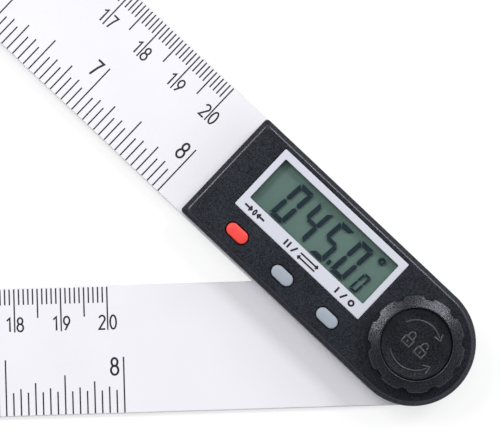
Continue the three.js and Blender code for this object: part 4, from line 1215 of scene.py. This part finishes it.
def make_world():
    """A soft white room: dim straight overhead, where the camera stands, and near the horizon."""
    world = bpy.data.worlds.new("soft_room")
    bpy.context.scene.world = world
    world.use_nodes = True
    tree = world.node_tree
    tree.nodes.clear()
    output, background, place, parts, ramp, slope, level = [
        tree.nodes.new("ShaderNode" + kind) for kind in
        ("OutputWorld", "Background", "TexCoord", "SeparateXYZ", "ValToRGB", "VectorMath", "Math")]
    stops = ramp.color_ramp.elements
    stops[0].position, stops[1].position = WORLD_LEVELS[0][0], WORLD_LEVELS[-1][0]
    for height, _ in WORLD_LEVELS[1:-1]:
        stops.new(height)
    for stop, (_, light) in zip(stops, WORLD_LEVELS):
        stop.color = (*scaled(WORLD_TINT, light), 1)
    slope.operation = "DOT_PRODUCT"
    slope.inputs[1].default_value = (WORLD_SLOPE * math.cos(WORLD_BRIGHT_SIDE),
                                     WORLD_SLOPE * math.sin(WORLD_BRIGHT_SIDE), 0)
    level.operation = "ADD"
    level.inputs[1].default_value = 1.0
    tree.links.new(place.outputs["Generated"], parts.inputs[0])
    tree.links.new(parts.outputs["Z"], ramp.inputs[0])
    tree.links.new(ramp.outputs["Color"], background.inputs["Color"])
    tree.links.new(place.outputs["Generated"], slope.inputs[0])
    tree.links.new(slope.outputs["Value"], level.inputs[0])
    tree.links.new(level.outputs["Value"], background.inputs["Strength"])
    tree.links.new(background.outputs[0], output.inputs["Surface"])


LAMP_TARGET = Vector((-60.0, 60.0, 0.0))


def make_lamp(name, azimuth, elevation, distance, length, height, power, mirrored=True):
    """A soft box that looks at the object, azimuth degrees round from x and elevation degrees
    up. A lamp that isn't mirrored lights without a reflection, as behind a crossed filter."""
    lamp = bpy.data.lights.new(name, "AREA")
    lamp.shape = "RECTANGLE"
    lamp.size = length * MM
    lamp.size_y = height * MM
    lamp.energy = power
    item = new_object(name, lamp)
    item.visible_glossy = mirrored
    side, rise = math.radians(azimuth), math.radians(elevation)
    way = Vector((math.cos(side) * math.cos(rise), math.sin(side) * math.cos(rise), math.sin(rise)))
    item.location = (LAMP_TARGET + way * distance) * MM
    item.rotation_mode = "QUATERNION"
    item.rotation_quaternion = way.to_track_quat("Z", "Y")


CAMERA_PLACE = Vector((-44.337, 21.175, 434.085))
CAMERA_TURN_DEGREES = Vector((0.87522, -1.42998, -1.64891))
CAMERA_LENS = 144.0
CAMERA_SENSOR = 36.0
CAMERA_NEAR = 10
CAMERA_FAR = 10000


def make_camera():
    data = bpy.data.cameras.new("camera")
    data.lens = CAMERA_LENS
    data.sensor_width = CAMERA_SENSOR
    data.clip_start = CAMERA_NEAR * MM
    data.clip_end = CAMERA_FAR * MM
    camera = new_object("camera", data)
    camera.location = CAMERA_PLACE * MM
    camera.rotation_mode = "QUATERNION"
    turn = math.radians(CAMERA_TURN_DEGREES.length)
    camera.rotation_quaternion = Quaternion(CAMERA_TURN_DEGREES.normalized(), turn)
    bpy.context.scene.camera = camera


make_floor()
make_world()
make_lamp("right_lamp", azimuth=36, elevation=56, distance=900, length=210, height=190, power=1.9)
make_lamp("left_lamp", azimuth=139, elevation=60, distance=900, length=340, height=165, power=2.5)
make_lamp("top_lamp", azimuth=88, elevation=79, distance=1100, length=440, height=440, power=3.2,
          mirrored=False)
make_camera()
bpy.context.scene.view_settings.view_transform = "Standard"
